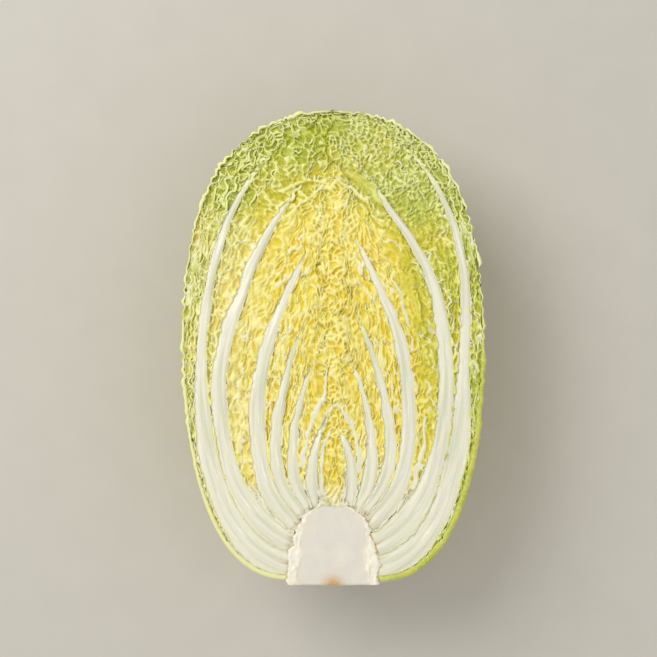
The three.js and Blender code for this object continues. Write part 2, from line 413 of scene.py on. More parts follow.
@dataclass(frozen=True)
class Leaf:
    """One leaf of the nest.

    rib is its midrib's azimuth. right, back and left are its sizes in the nest at the right edge of the cut,
    straight down and at the left edge, and 0 at an edge that it doesn't reach.
    """

    node: str
    rib: float
    right: float
    back: float
    left: float
    rib_half: float
    slot: Slot
    cut: CutRib | None = None

    @property
    def number(self) -> int:
        """The number in the leaf's name."""
        return int(self.node[5:7])

    def size_at(self, azimuth: Array) -> Array:
        """The leaf's size in the nest at an azimuth."""
        near = mix(self.right or self.back, self.back, smooth(azimuth, 0, 90))
        return np.where(azimuth < 90, near, mix(self.back, self.left or self.back, smooth(azimuth, 90, 180)))

    def cut_size(self, side: Side, along: Values = 0.0) -> Values:
        """The leaf's size where the knife went through it."""
        own = (self.right if side is Side.RIGHT else self.left) + 0.0 * np.asarray(along, float)
        return own if self.cut is None else np.interp(along, CUT_STEPS, self.cut.sizes)


OUTER = Leaf("leaf_01_outer", 88, 0.968, 0.968, 0.968, 3.2 * MM, Slot.GREEN)
LEFT_LEAVES = (
    Leaf("leaf_02_left", 180, 0, 0.9, 0.868, 3.4 * MM, Slot.GREEN,
         CutRib((0.868, 0.846, 0.86, 0.828, 0.828, 0.868), 3.3 * MM, 0.86, -62 * MM)),
    Leaf("leaf_05_left", 180, 0, 0.755, 0.708, 4.3 * MM, Slot.PALE,
         CutRib((0.708, 0.73, 0.735, 0.69, 0.70, 0.70), 4.5 * MM, 0.86, -48 * MM)),
    Leaf("leaf_08_left", 180, 0, 0.6, 0.54, 5.0 * MM, Slot.PALE,
         CutRib((0.54, 0.482, 0.50, 0.512, 0.52, 0.53), 4.9 * MM, 0.80, -106 * MM)),
    Leaf("leaf_11_left", 180, 0, 0.44, 0.378, 3.3 * MM, Slot.YELLOW,
         CutRib((0.378, 0.37, 0.37, 0.376, 0.37, 0.37), 3.1 * MM, 0.70, -86 * MM)),
    Leaf("leaf_14_left", 180, 0, 0.286, 0.243, 2.3 * MM, Slot.YELLOW,
         CutRib((0.243, 0.262, 0.268, 0.27, 0.255, 0.243), 2.3 * MM, 0.74, -86 * MM)),
    Leaf("leaf_17_left", 180, 0, 0.147, 0.128, 1.4 * MM, Slot.YELLOW,
         CutRib((0.128, 0.135, 0.145, 0.14, 0.13, 0.128), 1.5 * MM, 0.86, -89 * MM)),
)
RIGHT_LEAVES = (
    Leaf("leaf_03_right", 0, 0.892, 0.854, 0, 3.4 * MM, Slot.GREEN,
         CutRib((0.892, 0.845, 0.84, 0.88, 0.875, 0.888), 3.4 * MM, 0.85, -58 * MM)),
    Leaf("leaf_06_right", 0, 0.74, 0.704, 0, 4.3 * MM, Slot.PALE,
         CutRib((0.74, 0.715, 0.73, 0.732, 0.715, 0.742), 4.4 * MM, 0.88, -32 * MM)),
    Leaf("leaf_09_right", 0, 0.5, 0.55, 0, 4.3 * MM, Slot.YELLOW,
         CutRib((0.5, 0.487, 0.50, 0.53, 0.53, 0.53), 4.4 * MM, 0.84, -98 * MM)),
    Leaf("leaf_12_right", 0, 0.352, 0.39, 0, 3.1 * MM, Slot.YELLOW,
         CutRib((0.352, 0.372, 0.368, 0.37, 0.37, 0.36), 3.0 * MM, 0.74, -84 * MM)),
    Leaf("leaf_15_right", 0, 0.226, 0.24, 0, 2.1 * MM, Slot.YELLOW,
         CutRib((0.226, 0.245, 0.262, 0.268, 0.25, 0.235), 2.3 * MM, 0.74, -82 * MM)),
    Leaf("leaf_18_right", 0, 0.1, 0.104, 0, 1.2 * MM, Slot.YELLOW,
         CutRib((0.1, 0.11, 0.125, 0.12, 0.105, 0.1), 1.4 * MM, 0.9, -88 * MM)),
)
BACK_LEAVES = (
    Leaf("leaf_04_back", 101, 0.82, 0.803, 0.788, 1.8 * MM, Slot.PALE),
    Leaf("leaf_07_back", 16, 0.615, 0.65, 0.63, 2.6 * MM, Slot.PALE),
    Leaf("leaf_10_back", 158, 0.42, 0.495, 0.452, 1.6 * MM, Slot.YELLOW),
    Leaf("leaf_13_back", 84, 0.288, 0.336, 0.308, 1.7 * MM, Slot.YELLOW),
    Leaf("leaf_16_back", 92, 0.163, 0.192, 0.182, 1.2 * MM, Slot.YELLOW),
)
BUD = Leaf("heart_bud", 90, 0.052, 0.052, 0.052, 0.0, Slot.YELLOW)
BUD_FOOT = -94 * MM
BUD_CLOSES = -92 * MM
HALVES = ((Side.LEFT, LEFT_LEAVES), (Side.RIGHT, RIGHT_LEAVES))


@dataclass(frozen=True)
class Gap:
    """The space between two ribs at the cut face: high is the outer leaf, and low the inner one."""

    side: Side
    high: Leaf
    low: Leaf

    @property
    def sizes_midway(self) -> tuple[float, float]:
        """The two leaves' sizes in the nest, a little above half-way along."""
        return self.high.cut_size(self.side, 0.6), self.low.cut_size(self.side, 0.6)

    def sizes(self, along: Array, share: Values) -> Array:
        """Sizes in the nest at a share of the way from the outer to the inner leaf."""
        return mix(self.high.cut_size(self.side, along), self.low.cut_size(self.side, along), share)


SPREAD = ((0, 0.12, 0.32, 0.75, 0.9, 1), (52, 62, 92, 96, 84, 58))
RIB_TAPER = ((0, 0.07, 0.2, 0.35, 0.55, 0.75, 1), (0.7, 0.8, 1, 0.88, 0.6, 0.26, 0.06))
CUT_TAPER = ((0, 0.25, 0.5, 0.75, 0.9, 1.0, 1.06), (0.8, 1.0, 0.95, 0.6, 0.34, 0.1, 0.0))
RIB_WIDTH = ((0, 0.3, 0.6, 1), (30, 24, 13, 6))
SHORTEST_REACH = 14 * MM


# ---- Closed skins ----


@dataclass
class Skin:
    """Rows of points that wrap into one closed skin, with what its finish reads at each point."""

    points: Array
    marks: dict[str, Array]
    grain: Array

    def build(self, name: str) -> Piece:
        """Wraps a flat grid into the skin.

        Args:
            name: the piece's name.

        Returns:
            The new object, closed along its seam and at both ends.
        """
        rows, ring = self.points.shape[:2]
        bpy.ops.object.select_all(action="DESELECT")
        bpy.ops.mesh.primitive_grid_add(x_subdivisions=ring, y_subdivisions=rows - 1, size=1)
        piece = bpy.context.object
        piece.name = name
        piece.data.name = name
        around = np.r_[np.arange(ring), 0]
        points = self.points.copy()
        points[0] = points[0].mean(axis=0)
        points[-1] = points[-1].mean(axis=0)
        mesh = piece.data
        mesh.vertices.foreach_set("co", points[:, around].astype(np.float32).ravel())
        for mark, values in self.marks.items():
            layer = mesh.attributes.new(mark, "FLOAT", "POINT")
            full = np.broadcast_to(values, (rows, ring))
            layer.data.foreach_set("value", full[:, around].astype(np.float32).ravel())
        corners = np.zeros(len(mesh.loops), np.int32)
        mesh.loops.foreach_get("vertex_index", corners)
        grain = self.grain.reshape(-1, 2)[corners]
        mesh.uv_layers[0].data.foreach_set("uv", grain.astype(np.float32).ravel())
        mesh.update()
        bpy.ops.object.mode_set(mode="EDIT")
        bpy.ops.mesh.select_all(action="SELECT")
        bpy.ops.mesh.remove_doubles(threshold=1e-6)
        bpy.ops.mesh.normals_make_consistent(inside=False)
        bpy.ops.object.mode_set(mode="OBJECT")
        bpy.ops.object.shade_smooth()
        return piece


def joined(pieces: list[Piece], name: str) -> Piece:
    """Joins several skins into one piece.

    Args:
        pieces: the skins.
        name: the joined piece's name.

    Returns:
        The one object left.
    """
    bpy.ops.object.select_all(action="DESELECT")
    for piece in pieces:
        piece.select_set(True)
    bpy.context.view_layer.objects.active = pieces[0]
    if len(pieces) > 1:
        bpy.ops.object.join()
    whole = bpy.context.view_layer.objects.active
    whole.name = name
    whole.data.name = name
    return whole


# ---- The cut face ----


@dataclass
class CutPlan:
    """Where the white ribs lie on the cut face, and how much room the folds have between them."""

    nest: Nest
    blade_half: float = 0.42 * MM
    lap: float = 0.06 * MM
    outer_gap: float = 0.7 * MM
    outer_share: float = 0.22
    wobble: float = 1.0 * MM
    opening: float = 46 * MM
    plain_half: float = 0.9 * MM
    plain_ends: float = 0.5

    def __post_init__(self) -> None:
        """Works out each rib's two flanks along its leaf line."""
        self.along = np.linspace(0, 1, self.nest.steps)
        self.ribs: dict[tuple[str, Side], tuple[Array, Array, Array]] = {}
        for side, leaves in HALVES:
            row = [OUTER, *leaves, BUD]
            sizes = [leaf.cut_size(side, self.along) for leaf in row]
            spines = [self.nest.on_line(size, self.along) for size in sizes]
            closes = [leaf.cut.closes for leaf in leaves] + [BUD_CLOSES]
            borders = []
            for order in range(len(row) - 1):
                share = 0.5 if order else self.outer_share
                borders.append(self.nest.on_line(mix(sizes[order], sizes[order + 1], share), self.along))
            for order, leaf in enumerate(row[:-1]):
                into = self._flank(leaf, spines[order], borders[order], closes[order], order == 0)
                out = into
                if order > 0:
                    out = self._flank(leaf, spines[order], borders[order - 1], closes[order - 1], order == 1)
                self.ribs[(leaf.node, side)] = (spines[order], out, into)

    def _flank(self, leaf: Leaf, spine: Array, border: Array, closes: float, outermost: bool) -> Array:
        """Half a rib's thickness: it fills its room near the core, and tapers into the blade above.

        Args:
            leaf: the leaf that the rib belongs to.
            spine: its line.
            border: the line half-way to its neighbour.
            closes: the height below which the two touch.
            outermost: whether the flank faces the gap inside the outermost leaf.

        Returns:
            The flank's distance from the line at each step.
        """
        room = np.linalg.norm(spine[:, None] - border[None], axis=2).min(axis=1)
        half, ends = (leaf.cut.half, leaf.cut.ends) if leaf.cut else (self.plain_half, self.plain_ends)
        rib = self.blade_half + half * np.interp(self.along / ends, *CUT_TAPER)
        filled = 1 - smooth(spine[:, 1], closes - 4 * MM, closes + self.opening) ** 0.7
        filled = filled * (1 - smooth(self.along, 0.55, 0.7))
        seam = np.full(room.shape, self.lap)
        if outermost:
            seam = mix(self.lap, -self.outer_gap, rise(spine[:, 1], -126, -104))
        own = (border[0, 0] * 900, closes * 90)
        wobble = Grain(73).at(self.along * 26, *own)
        wobble = (wobble + 0.5 * Grain(74).at(self.along * 60, *own)) * self.wobble
        wobble = wobble * smooth(self.along, 0.2, 0.45) * rise(half * (1 - self.along / ends), 0, 1.5)
        flank = mix(rib + wobble, np.maximum(room, rib), filled)
        return np.minimum(flank, np.maximum(room + seam, self.blade_half))

    def cover(self, spots: Array, side: Side) -> Array:
        """How far inside the nearest rib each point is.

        Args:
            spots: the points as (radius, y).
            side: which half of the cut face.

        Returns:
            One distance for each point, below zero outside the ribs.
        """
        flat = spots.reshape(-1, 2)
        deepest = np.full(len(flat), -1.0)
        for (_, rib_side), (spine, out, into) in self.ribs.items():
            if rib_side is not side:
                continue
            way = np.gradient(spine, axis=0)
            for start in range(0, len(flat), 4000):
                part = flat[start : start + 4000]
                gaps = np.linalg.norm(part[:, None] - spine[None], axis=2)
                nearest = gaps.argmin(axis=1)
                apart = part - spine[nearest]
                outward = apart[:, 0] * way[nearest, 1] - apart[:, 1] * way[nearest, 0] > 0
                flank = np.where(outward, out[nearest], into[nearest])
                inside = flank - gaps[np.arange(len(part)), nearest]
                deepest[start : start + 4000] = np.maximum(deepest[start : start + 4000], inside)
        return deepest.reshape(spots.shape[:-1])

    def covering(self, x: Array, y: Array) -> Array:
        """How far inside the nearest rib each point of either half is.

        Args:
            x: place across the head, with the left half below zero.
            y: place along its axis.

        Returns:
            One distance for each point, below zero outside the ribs.
        """
        found = np.zeros(x.shape)
        for side in Side:
            chosen = (x < 0) == (side is Side.LEFT)
            found[chosen] = self.cover(side_by_side(np.abs(x), y)[chosen], side)
        return found


@dataclass(frozen=True)
class Crinkle:
    """The tight waves of a blade: along it, down into the head, and the common way that the folds lean."""

    seed: int
    height: float = 1.0 * MM
    wave: float = 6.2 * MM
    curl: float = 0.7 * MM
    lean: float = 0.5

    def shift(self, run: Array, depth: Array, ease: Values = 1.0) -> tuple[Array, Array]:
        """How far the blade is pushed sideways and along.

        Args:
            run: distance along the leaf line.
            depth: distance below the cut face.
            ease: 1 on the free blade, down to 0 on a rib.

        Returns:
            The sideways and the lengthwise shift.
        """
        grain, key = Grain(self.seed % 97), self.seed * 0.731
        swing = grain.at(run / (1.9 * self.wave), key, depth / (14 * MM))
        turn = 2 * math.pi * (run / self.wave + 0.95 * swing)
        turn = turn + 2 * math.pi * (depth / (11 * MM)) * grain.at(run / (20 * MM), key + 7.3)
        uneven = 0.6 + 0.85 * grain.at(run / (9 * MM), key + 3.1, depth / (9 * MM))
        fine = 0.5 * Grain(self.seed % 89 + 1).at(run / (2.1 * MM), key, depth / (2.4 * MM))
        across = self.height * (uneven * np.sin(turn) + fine)
        return across * ease, -self.curl * np.sin(2 * turn) * uneven * ease

    def bent(self, run: Array, below: Array, reach: float = 1.1 * MM) -> Array:
        """How far the pressed rim is bent over sideways.

        Args:
            run: distance along the leaf line.
            below: distance below the rim.
            reach: how far the rim itself is bent at most.

        Returns:
            One shift for each point.
        """
        grain = Grain((self.seed * 3) % 83)
        push = grain.at(run / (3.6 * MM), self.seed * 1.17)
        push = push + 0.4 * grain.at(run / (1.7 * MM), self.seed * 0.67 + 5)
        return reach * push * np.exp(-below / (1.1 * MM))

    def leaning(self, spot: Array, depth: Array) -> Array:
        """The sideways shift below the cut face, alike in neighbouring blades."""
        tilt = Grain(5).at(spot[..., 0] / (15 * MM) + 40, spot[..., 1] / (24 * MM) + 40)
        return self.lean * 1.6 * tilt * depth * hump(depth, 9)


def drifted(spot: Array, level: float, turn: Values) -> Array:
    """Moves (radius, y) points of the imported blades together, so that they don't run in even rows.

    Args:
        spot: the points.
        level: size in the nest, which sets how crowded they are.
        turn: 1 on the right half of the cut face, and -1 on the left.

    Returns:
        The moved points.
    """
    reach = mix(1.5, 1.0, float(smooth(level, 0.6, 0.9))) * MM
    near = rise(spot[..., 0], 0, 8)
    across = Grain(23).at(spot[..., 0] / (6 * MM) + 9, spot[..., 1] / (8 * MM) + 50)
    upward = Grain(24).at(spot[..., 0] / (7 * MM) + 9, spot[..., 1] / (9 * MM) + 50)
    sway = 2.6 * MM * Grain(25).at(spot[..., 1] / (15 * MM) + 50) * np.exp(-((spot[..., 0] / (9 * MM)) ** 2))
    sway = sway * rise(spot[..., 1], -84, -55)
    return spot + side_by_side(reach * across * near + turn * sway, reach * upward * near)


def tone_at(size: Array, y: Array, x: Array) -> Array:
    """How green a blade is, from 0 in the heart to 1 at the skin and the tip of the head.

    Args:
        size: size in the nest.
        y: place along the head's axis.
        x: place across the head, with the left half below zero.

    Returns:
        One value for each point.
    """
    outward = 0.42 * smooth(size, 0.6, 0.96) + 0.52 * rise(x, 25, 52) * smooth(size, 0.5, 0.66)
    outward = outward + 0.12 * rise(-x, 25, 60) * smooth(size, 0.5, 0.7)
    upward = 0.42 * rise(y, 60, 98) * smooth(size, 0.47, 0.57)
    patchy = 0.3 * Grain(11).at(x / (16 * MM), y / (22 * MM), size * 6)
    dark = 0.42 * hump(x + 20 * MM, 22) * rise(y, 96, 118)
    dark = dark + 0.3 * np.exp(-(((x - 24 * MM) / (12 * MM)) ** 2) - ((y - 96 * MM) / (12 * MM)) ** 2)
    uneven = patchy * smooth(size, 0.45, 0.8)
    return np.clip(outward + upward + uneven + dark * smooth(size, 0.45, 0.6), 0, 1.2)


def crowning(size: Values, y: Array) -> Array:
    """1 where the leaves' broad tops fold over at the tip of the head, else 0."""
    return rise(y, 58, 100) * smooth(size, 0.46, 0.66)


@dataclass
class Folds:
    """Folded edges of a blade, standing on end between two ribs at the cut."""

    nest: Nest
    plan: CutPlan
    spacing: float = 0.031
    step: float = 0.85 * MM
    half: float = 0.46 * MM
    depths: tuple[float, ...] = (0.12 * MM, 0.5 * MM, 1.5 * MM, 3.8 * MM)
    stoutness: tuple[float, ...] = (0.62, 1.0, 0.95, 0.8)
    fewest_rows: int = 12
    grain_width: float = 12 * MM

    def between(self, gap: Gap, seed: int) -> list[Piece]:
        """Folds at even sizes between two leaf lines.

        Args:
            gap: the space between two ribs.
            seed: makes each gap's folds its own.

        Returns:
            One skin for each fold.
        """
        count = max(1, round((gap.sizes_midway[0] - gap.sizes_midway[1]) / self.spacing) - 1)
        made = []
        for order in range(1, count + 1):
            made.extend(self._fold(gap, order / (count + 1), seed * 31 + order * 7 + (gap.side is Side.LEFT)))
        return made

    def _places(self, gap: Gap, share: float, draw: np.random.Generator) -> Array:
        """Where along the leaf line a fold gets its rows.

        Args:
            gap: the space between two ribs.
            share: how far from the outer towards the inner leaf.
            draw: the fold's own random draws.

        Returns:
            The places, from where it comes out between the ribs to its end, and none where it has no room.
        """
        level = float(mix(*gap.sizes_midway, share))
        length = float(self.nest.line_length(level))
        beyond = 9 * MM / length * smooth(level, 0.6, 0.8) * draw.uniform(-1.0, 1.0)
        last = 0.99 - 0.07 * draw.uniform() * (level < 0.75) + float(beyond)
        along = np.linspace(0.04, last, 400)
        free = self.plan.cover(self.nest.on_line(gap.sizes(along, share), along), gap.side) < -0.15 * MM
        if not free.any():
            return along[:0]
        start = max(along[free][0] - 3 * MM / length, 0.05)
        return np.linspace(start, last, int((last - start) * length / self.step) + 2)

    def _fold(self, gap: Gap, share: float, seed: int) -> list[Piece]:
        """One fold, from where it comes out between the ribs to the head's axis.

        Args:
            gap: the space between two ribs.
            share: how far from the outer towards the inner leaf.
            seed: makes this fold its own.

        Returns:
            Its skin, or nothing where it has no room.
        """
        nest, side, draw = self.nest, gap.side, np.random.default_rng(seed)
        along = self._places(gap, share, draw)
        rows = len(along)
        if rows < self.fewest_rows:
            return []
        level = float(mix(*gap.sizes_midway, share))
        length = float(nest.line_length(level))
        sizes = gap.sizes(along, share)
        spot = nest.on_line(sizes, along)
        crown = crowning(level, spot[:, 1])
        heart = 1 - float(smooth(level, 0.15, 0.5))
        wave = Crinkle(seed, height=mix(0.85, 1.0, heart) * MM, wave=mix(6.4, 5.4, heart) * MM)
        broad = Crinkle(seed + 400, height=2.3 * MM, wave=10.5 * MM, curl=1.7 * MM)
        below = np.array(self.depths)
        run = along * length
        drop = Grain(seed % 71).at(run / (3.3 * MM), seed * 0.37)
        drop = drop + 0.7 * Grain(seed % 67).at(run / (9 * MM), seed * 0.53)
        packed = 0.45 * MM * heart + 1.1 * MM * crown * float(draw.uniform() < 0.5)
        drop = np.clip(0.4 * MM + packed + 1.5 * MM * drop, 0.0, 2.8 * MM)
        covered = self.plan.cover(drifted(spot, level, side.value), side)
        hidden = rise(covered, -0.9, 0.5) * 2.0 * MM
        ends = np.minimum(smooth(np.arange(rows), 0, 6), smooth(np.arange(rows)[::-1], 0, 5))
        depth = (drop + hidden)[:, None] + below[None, :]
        run = run[:, None]
        ease = ends[:, None] * (1 - 0.5 * rise(hidden, 0.2, 1.5)[:, None])
        small = wave.shift(run, depth, ease * (1 - crown[:, None]))
        large = broad.shift(run, depth, ease * crown[:, None])
        across = small[0] + large[0] + wave.leaning(spot[:, None, :], depth) * mix(1.0, 1.7, crown[:, None])
        across = across + wave.bent(run, below[None], mix(1.0, 1.5, float(crown.mean())) * MM) * ends[:, None]
        centre = nest.on_line(sizes[:, None], along[:, None] + (small[1] + large[1]) / length, across)
        centre = drifted(centre, level, side.value)
        half = self.half * (1 + 0.6 * Grain(seed % 61).at(run / (3.6 * MM), seed * 0.91))
        half = half * np.array(self.stoutness)[None]
        out = outward_of(centre) * half[..., None]
        ring_spot = beside((centre + out)[:, ::-1], centre[:, :1], centre - out)
        ring_depth = beside(depth[:, ::-1], depth[:, :1] - 0.14 * MM, depth)
        past_axis = mix(-2.5, -12.0, float(smooth(level, 0.5, 0.8))) * MM
        ring_spot[..., 0] = np.maximum(ring_spot[..., 0], past_axis)
        points = nest.hang(nest.kept_inside(ring_spot, OUTER.back, 0.3 * MM), side, ring_depth)
        own = np.concatenate([below[::-1], [0], below])
        pale = 0.75 + 0.5 * Grain(seed % 59).at(run / (6 * MM), seed * 0.29)
        marks = {
            "white": 0.3 * rise(self.plan.cover(spot, side), -2.0, 0.2)[:, None],
            "green": tone_at(sizes, spot[:, 1], side.value * spot[:, 0])[:, None],
            "rim": np.clip(pale, 0, 1) * np.exp(-own / (0.6 * MM))[None],
            # Painted shade: the fold darkens with depth below the cut.
            "deep": rise(ring_depth, 0.8, 4),
        }
        across_at = np.linspace(0, 1, 2 * len(below) + 2) * self.grain_width
        return [Skin(points, marks, side_by_side(run, across_at[None])).build(f"fold_{seed}")]


@dataclass(frozen=True)
class Crease:
    """A broad fold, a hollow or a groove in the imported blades, from one point to another, in millimetres."""

    x: float
    y: float
    to_x: float
    to_y: float
    half: float
    height: float

    def across(self, x: Array, y: Array) -> Array:
        """How far each point lies beside its line."""
        way_x, way_y = self.to_x - self.x, self.to_y - self.y
        return ((x - self.x * MM) * way_y - (y - self.y * MM) * way_x) / math.hypot(way_x, way_y)

    def share(self, x: Array, y: Array) -> Array:
        """How much each point lies on it.

        Args:
            x: place across the head.
            y: place along its axis.

        Returns:
            1 on the crease, and 0 beside it.
        """
        off_x, off_y = x - self.x * MM, y - self.y * MM
        way_x, way_y = (self.to_x - self.x) * MM, (self.to_y - self.y) * MM
        along = np.clip((off_x * way_x + off_y * way_y) / (way_x**2 + way_y**2), 0, 1)
        gap = np.hypot(off_x - along * way_x, off_y - along * way_y)
        return 1 - smooth(gap, 0.45 * self.half * MM, self.half * MM)


# A crease's height sets its relief and also its painted shade: hollows are fully shaded, and the flat tops'
# middling height darkens them part way.
FLAT_TOPS = (Crease(10, 102, 29, 86, 3.4, 0.5), Crease(43.5, 38, 50, 18, 2.8, 0.6))
ARCHES = (
    Crease(-31, 92, -5, 100.5, 1.2, 0.82),
    Crease(-35, 74, -10, 92, 1.2, 0.84),
    Crease(-10, 92, 1, 96.5, 1.3, 0.86),
    Crease(1, 98.8, 9, 94.5, 1.4, 0.92),
    Crease(9, 94.5, 19, 86, 1.4, 0.92),
)
HOLLOWS = (
    Crease(-24, 87.5, -20.5, 91, 2.4, 0.0),
    Crease(-19, 93.5, -14, 95.5, 1.9, 0.1),
    Crease(-12, 103, -6.5, 104.5, 2.2, 0.05),
    Crease(-3, 112, -2.5, 107.5, 2.1, 0.0),
    Crease(-48.5, 90, -45.5, 84, 2.3, 0.0),
    Crease(27, 84.5, 30.5, 82.5, 1.9, 0.0),
    Crease(5, 107, 8, 99.5, 1.1, 0.0),
    Crease(8, 99.5, 20.5, 89.5, 0.9, 0.05),
    Crease(13, 89, 22, 79, 0.9, 0.05),
    Crease(22, 79, 37, 62, 0.9, 0.1),
    Crease(46.5, 44, 54, 27, 1.4, -0.2),
    Crease(54, 27, 56.5, 8, 1.7, -0.2),
)


def chained(half: float, height: float, *spots: tuple[float, float]) -> tuple[Crease, ...]:
    """A bent crease through several points, narrower where it starts.

    Args:
        half: its half width at its end, in millimetres.
        height: how high it stands, from 0 to 1.
        spots: the points that it runs through, in millimetres.

    Returns:
        Its straight stretches.
    """
    halves = np.linspace(0.6 * half, half, len(spots) - 1)
    return tuple(Crease(*spot, *onward, wide, height) for spot, onward, wide in zip(spots, spots[1:], halves))


SLIVERS = (
    *chained(1.7, 0.96, (54.6, -42), (52.6, -57), (50.4, -70), (46.4, -82)),
    *chained(1.1, 0.93, (36.5, 38), (41.5, 27), (44.5, 13)),
    *chained(1.8, 0.93, (-3.2, -13), (-7.4, -29), (-9.6, -36), (-11.9, -43), (-14.4, -50), (-17.6, -62),
             (-18.4, -70)),
    *chained(1.5, 0.93, (0.4, -33.2), (-2.8, -35), (-5.2, -38.5), (-6.9, -43), (-7.6, -47.5)),
    *chained(1.8, 0.93, (0, -33), (4.2, -36), (7.9, -41), (10.8, -46.5), (13.2, -52.5), (15, -59), (16, -66),
             (15.8, -73)),
    *chained(1.5, 0.93, (-2.6, -49), (-4.2, -54), (-5.4, -60), (-6.3, -68), (-6.8, -77), (-6.5, -86)),
)

INNER_FLAKES = Cells(47, 8.8 * MM, 2.3 * MM, 0.6)
OUTER_FLAKES = Cells(48, 8.0 * MM, 2.6 * MM, 0.5)
HEART_GRAINS = Cells(49, 4.2 * MM, 3.0 * MM, 0.6)
CURLS = Cells(50, 3.0 * MM, 3.4 * MM, 0.42)
BROAD_CURLS = Cells(59, 4.6 * MM, 5.4 * MM, 0.3)
CRUMBS = Cells(55, 2.3 * MM, 1.7 * MM, 0.7)


@dataclass(frozen=True)
class Patch:
    """A grid of points of the cut face.

    x and y are their places across the head, with the left half below zero, and along its axis. sizes are
    their sizes in the nest, run their distance along the leaf lines, and over their distance across them.
    """

    x: Array
    y: Array
    sizes: Array
    run: Array
    over: Array


@dataclass
class Bed:
    """Blades packed so tightly between two ribs that they show as one crumpled sheet just under the cut."""

    nest: Nest
    plan: CutPlan
    across: float = 0.5 * MM
    step: float = 0.62 * MM
    under: float = 7 * MM
    top: float = 0.1 * MM
    relief: float = 2.3 * MM
    seam: float = 5.2 * MM
    lap: float = 0.5 * MM
    foot: float = 2.5 * MM
    vein_gap_mm: float = 7.5
    under_columns: int = 4

    def between(self, gap: Gap, seed: int) -> Piece:
        """The sheet between two leaf lines.

        Args:
            gap: the space between two ribs.
            seed: makes this sheet its own.

        Returns:
            Its closed skin.
        """
        nest, side, (high, low) = self.nest, gap.side, gap.sizes_midway
        level = float(high + low) / 2
        length = float(nest.line_length(level))
        along = np.linspace(-self.foot / length, 1, int((length + self.foot) / self.step) + 2)[:, None]
        width = (high - low) * nest.width / 2
        lap = np.array([self.lap + 0.35 * MM, self.lap]) / width
        share = np.linspace(0, 1, int(width / self.across) + 4)
        share = np.concatenate([-lap, share, 1 + lap[::-1]])[None]
        sizes = gap.sizes(along, share)
        spot = nest.on_line(sizes, along)
        stepped = np.linalg.norm(np.diff(spot, axis=1), axis=2)
        over = beside(np.zeros((len(along), 1)), np.cumsum(stepped, axis=1))
        sunk = 3.5 * MM * smooth(-spot[..., 0], -self.seam, -self.seam + 1.2 * MM)
        if gap.high is OUTER:
            strip_end = float(nest.on_line(gap.low.cut.sizes[-1], np.array(1.0))[1])
            sunk *= 1 - smooth(spot[..., 1], strip_end - 2 * MM, strip_end)
        sunk[:, 0] += (0.3 if gap.high is OUTER else 1.5) * MM
        sunk[:, -1] += 1.5 * MM
        patch = Patch(side.value * spot[..., 0], spot[..., 1], sizes, along * length, over + seed * 7 * MM)
        return self._sheet(patch, level, sunk)

    def over_axis(self, bottom: float, top: float) -> Piece:
        """The strip in which the blades of both halves meet over the head's axis.

        Args:
            bottom: where it starts along the axis.
            top: where it ends.

        Returns:
            Its closed skin.
        """
        nest = self.nest
        tips, before = nest.on_line(nest.sizes, np.array(1.0)), nest.on_line(nest.sizes, np.array(0.96))
        y = np.linspace(bottom - 1.3 * MM, top + 1.3 * MM, int((top - bottom) / self.step) + 5)[:, None]
        half = self.seam + 8.2 * MM
        x = np.linspace(-half, half, 2 * int(half / self.across) + 3)[None] + 0 * y
        slope = np.interp(y, tips[:, 1], (tips[:, 1] - before[:, 1]) / before[:, 0])
        sizes = np.interp(y + slope * np.abs(x), tips[:, 1], nest.sizes)
        ragged = self.seam + (1.8 + 1.9 * Grain(58).at(y / (4 * MM) + 60, np.sign(x) * 3 + 7)) * MM
        sunk = 2.8 * MM * smooth(np.abs(x), ragged, ragged + 4.2 * MM) - 0.12 * MM
        level = float(np.interp((bottom + top) / 2, tips[:, 1], nest.sizes))
        return self._sheet(Patch(x, y + 0 * x, sizes, y + 0.2, x + 0.06), level, sunk)

    def _sheet(self, patch: Patch, level: float, sunk: Array) -> Piece:
        """One closed sheet over a grid of points of the cut face.

        Args:
            patch: the points.
            level: the sheet's own size in the nest.
            sunk: how far each point is let down, besides the relief.

        Returns:
            Its closed skin.
        """
        nest, x, y, ends = self.nest, patch.x, patch.y, self.under_columns
        height, streak, shade = self._crumple(patch)
        back = np.linspace(0, 1, ends)[None]
        grid_x = beside(x, mix(x[:, -1:], x[:, :1], back))
        grid_y = beside(y, mix(y[:, -1:], y[:, :1], back))
        turn = np.where(grid_x < 0, -1.0, 1.0)
        ring = drifted(side_by_side(np.abs(grid_x), grid_y), level, turn)
        ring = nest.kept_inside(ring, OUTER.back, 0.7 * MM)
        ring_x, ring_y = turn * ring[..., 0], ring[..., 1]
        covered = self.plan.covering(ring_x[:, :-ends], ring_y[:, :-ends])
        lapped = 0.9 * MM * np.clip(Grain(54).over(y, np.abs(x), 3.5, 3), 0, 1)
        hidden = rise(covered - lapped, 0.2, 1.2) * 3.0 * MM + sunk
        raised = 0.7 * MM * rise(covered, -1.6, 0) * (1 - rise(covered, 0.6, 1.6))
        hidden = hidden - raised * smooth(height, 0.3, 0.7)
        relief = self.relief * (1 - height) * mix(1.0, 1.3, crowning(patch.sizes, y))
        depth = np.clip(self.top + relief + hidden, 0, self.under)
        ring_depth = beside(depth, np.full((len(x), ends), self.under))
        ring_depth[[0, -1]] = self.under
        points = side_by_side(nest.axis_x + ring_x, ring_y + nest.shift_y, nest.cut_z - ring_depth)
        marks = {}
        for name, values in self._marks(patch, height, streak, shade).items():
            # The sheet's hidden lower part is given full painted shade and no other marks.
            low_part = np.full((len(x), ends), float(name == "deep"))
            marks[name] = beside(values, low_part)
        run, over = np.broadcast_arrays(patch.run, patch.over)
        across = beside(over, over[:, -1:] + np.linspace(0, 0.01, ends + 1)[None])
        return Skin(points, marks, side_by_side(run[:, :1], across)).build("bed")

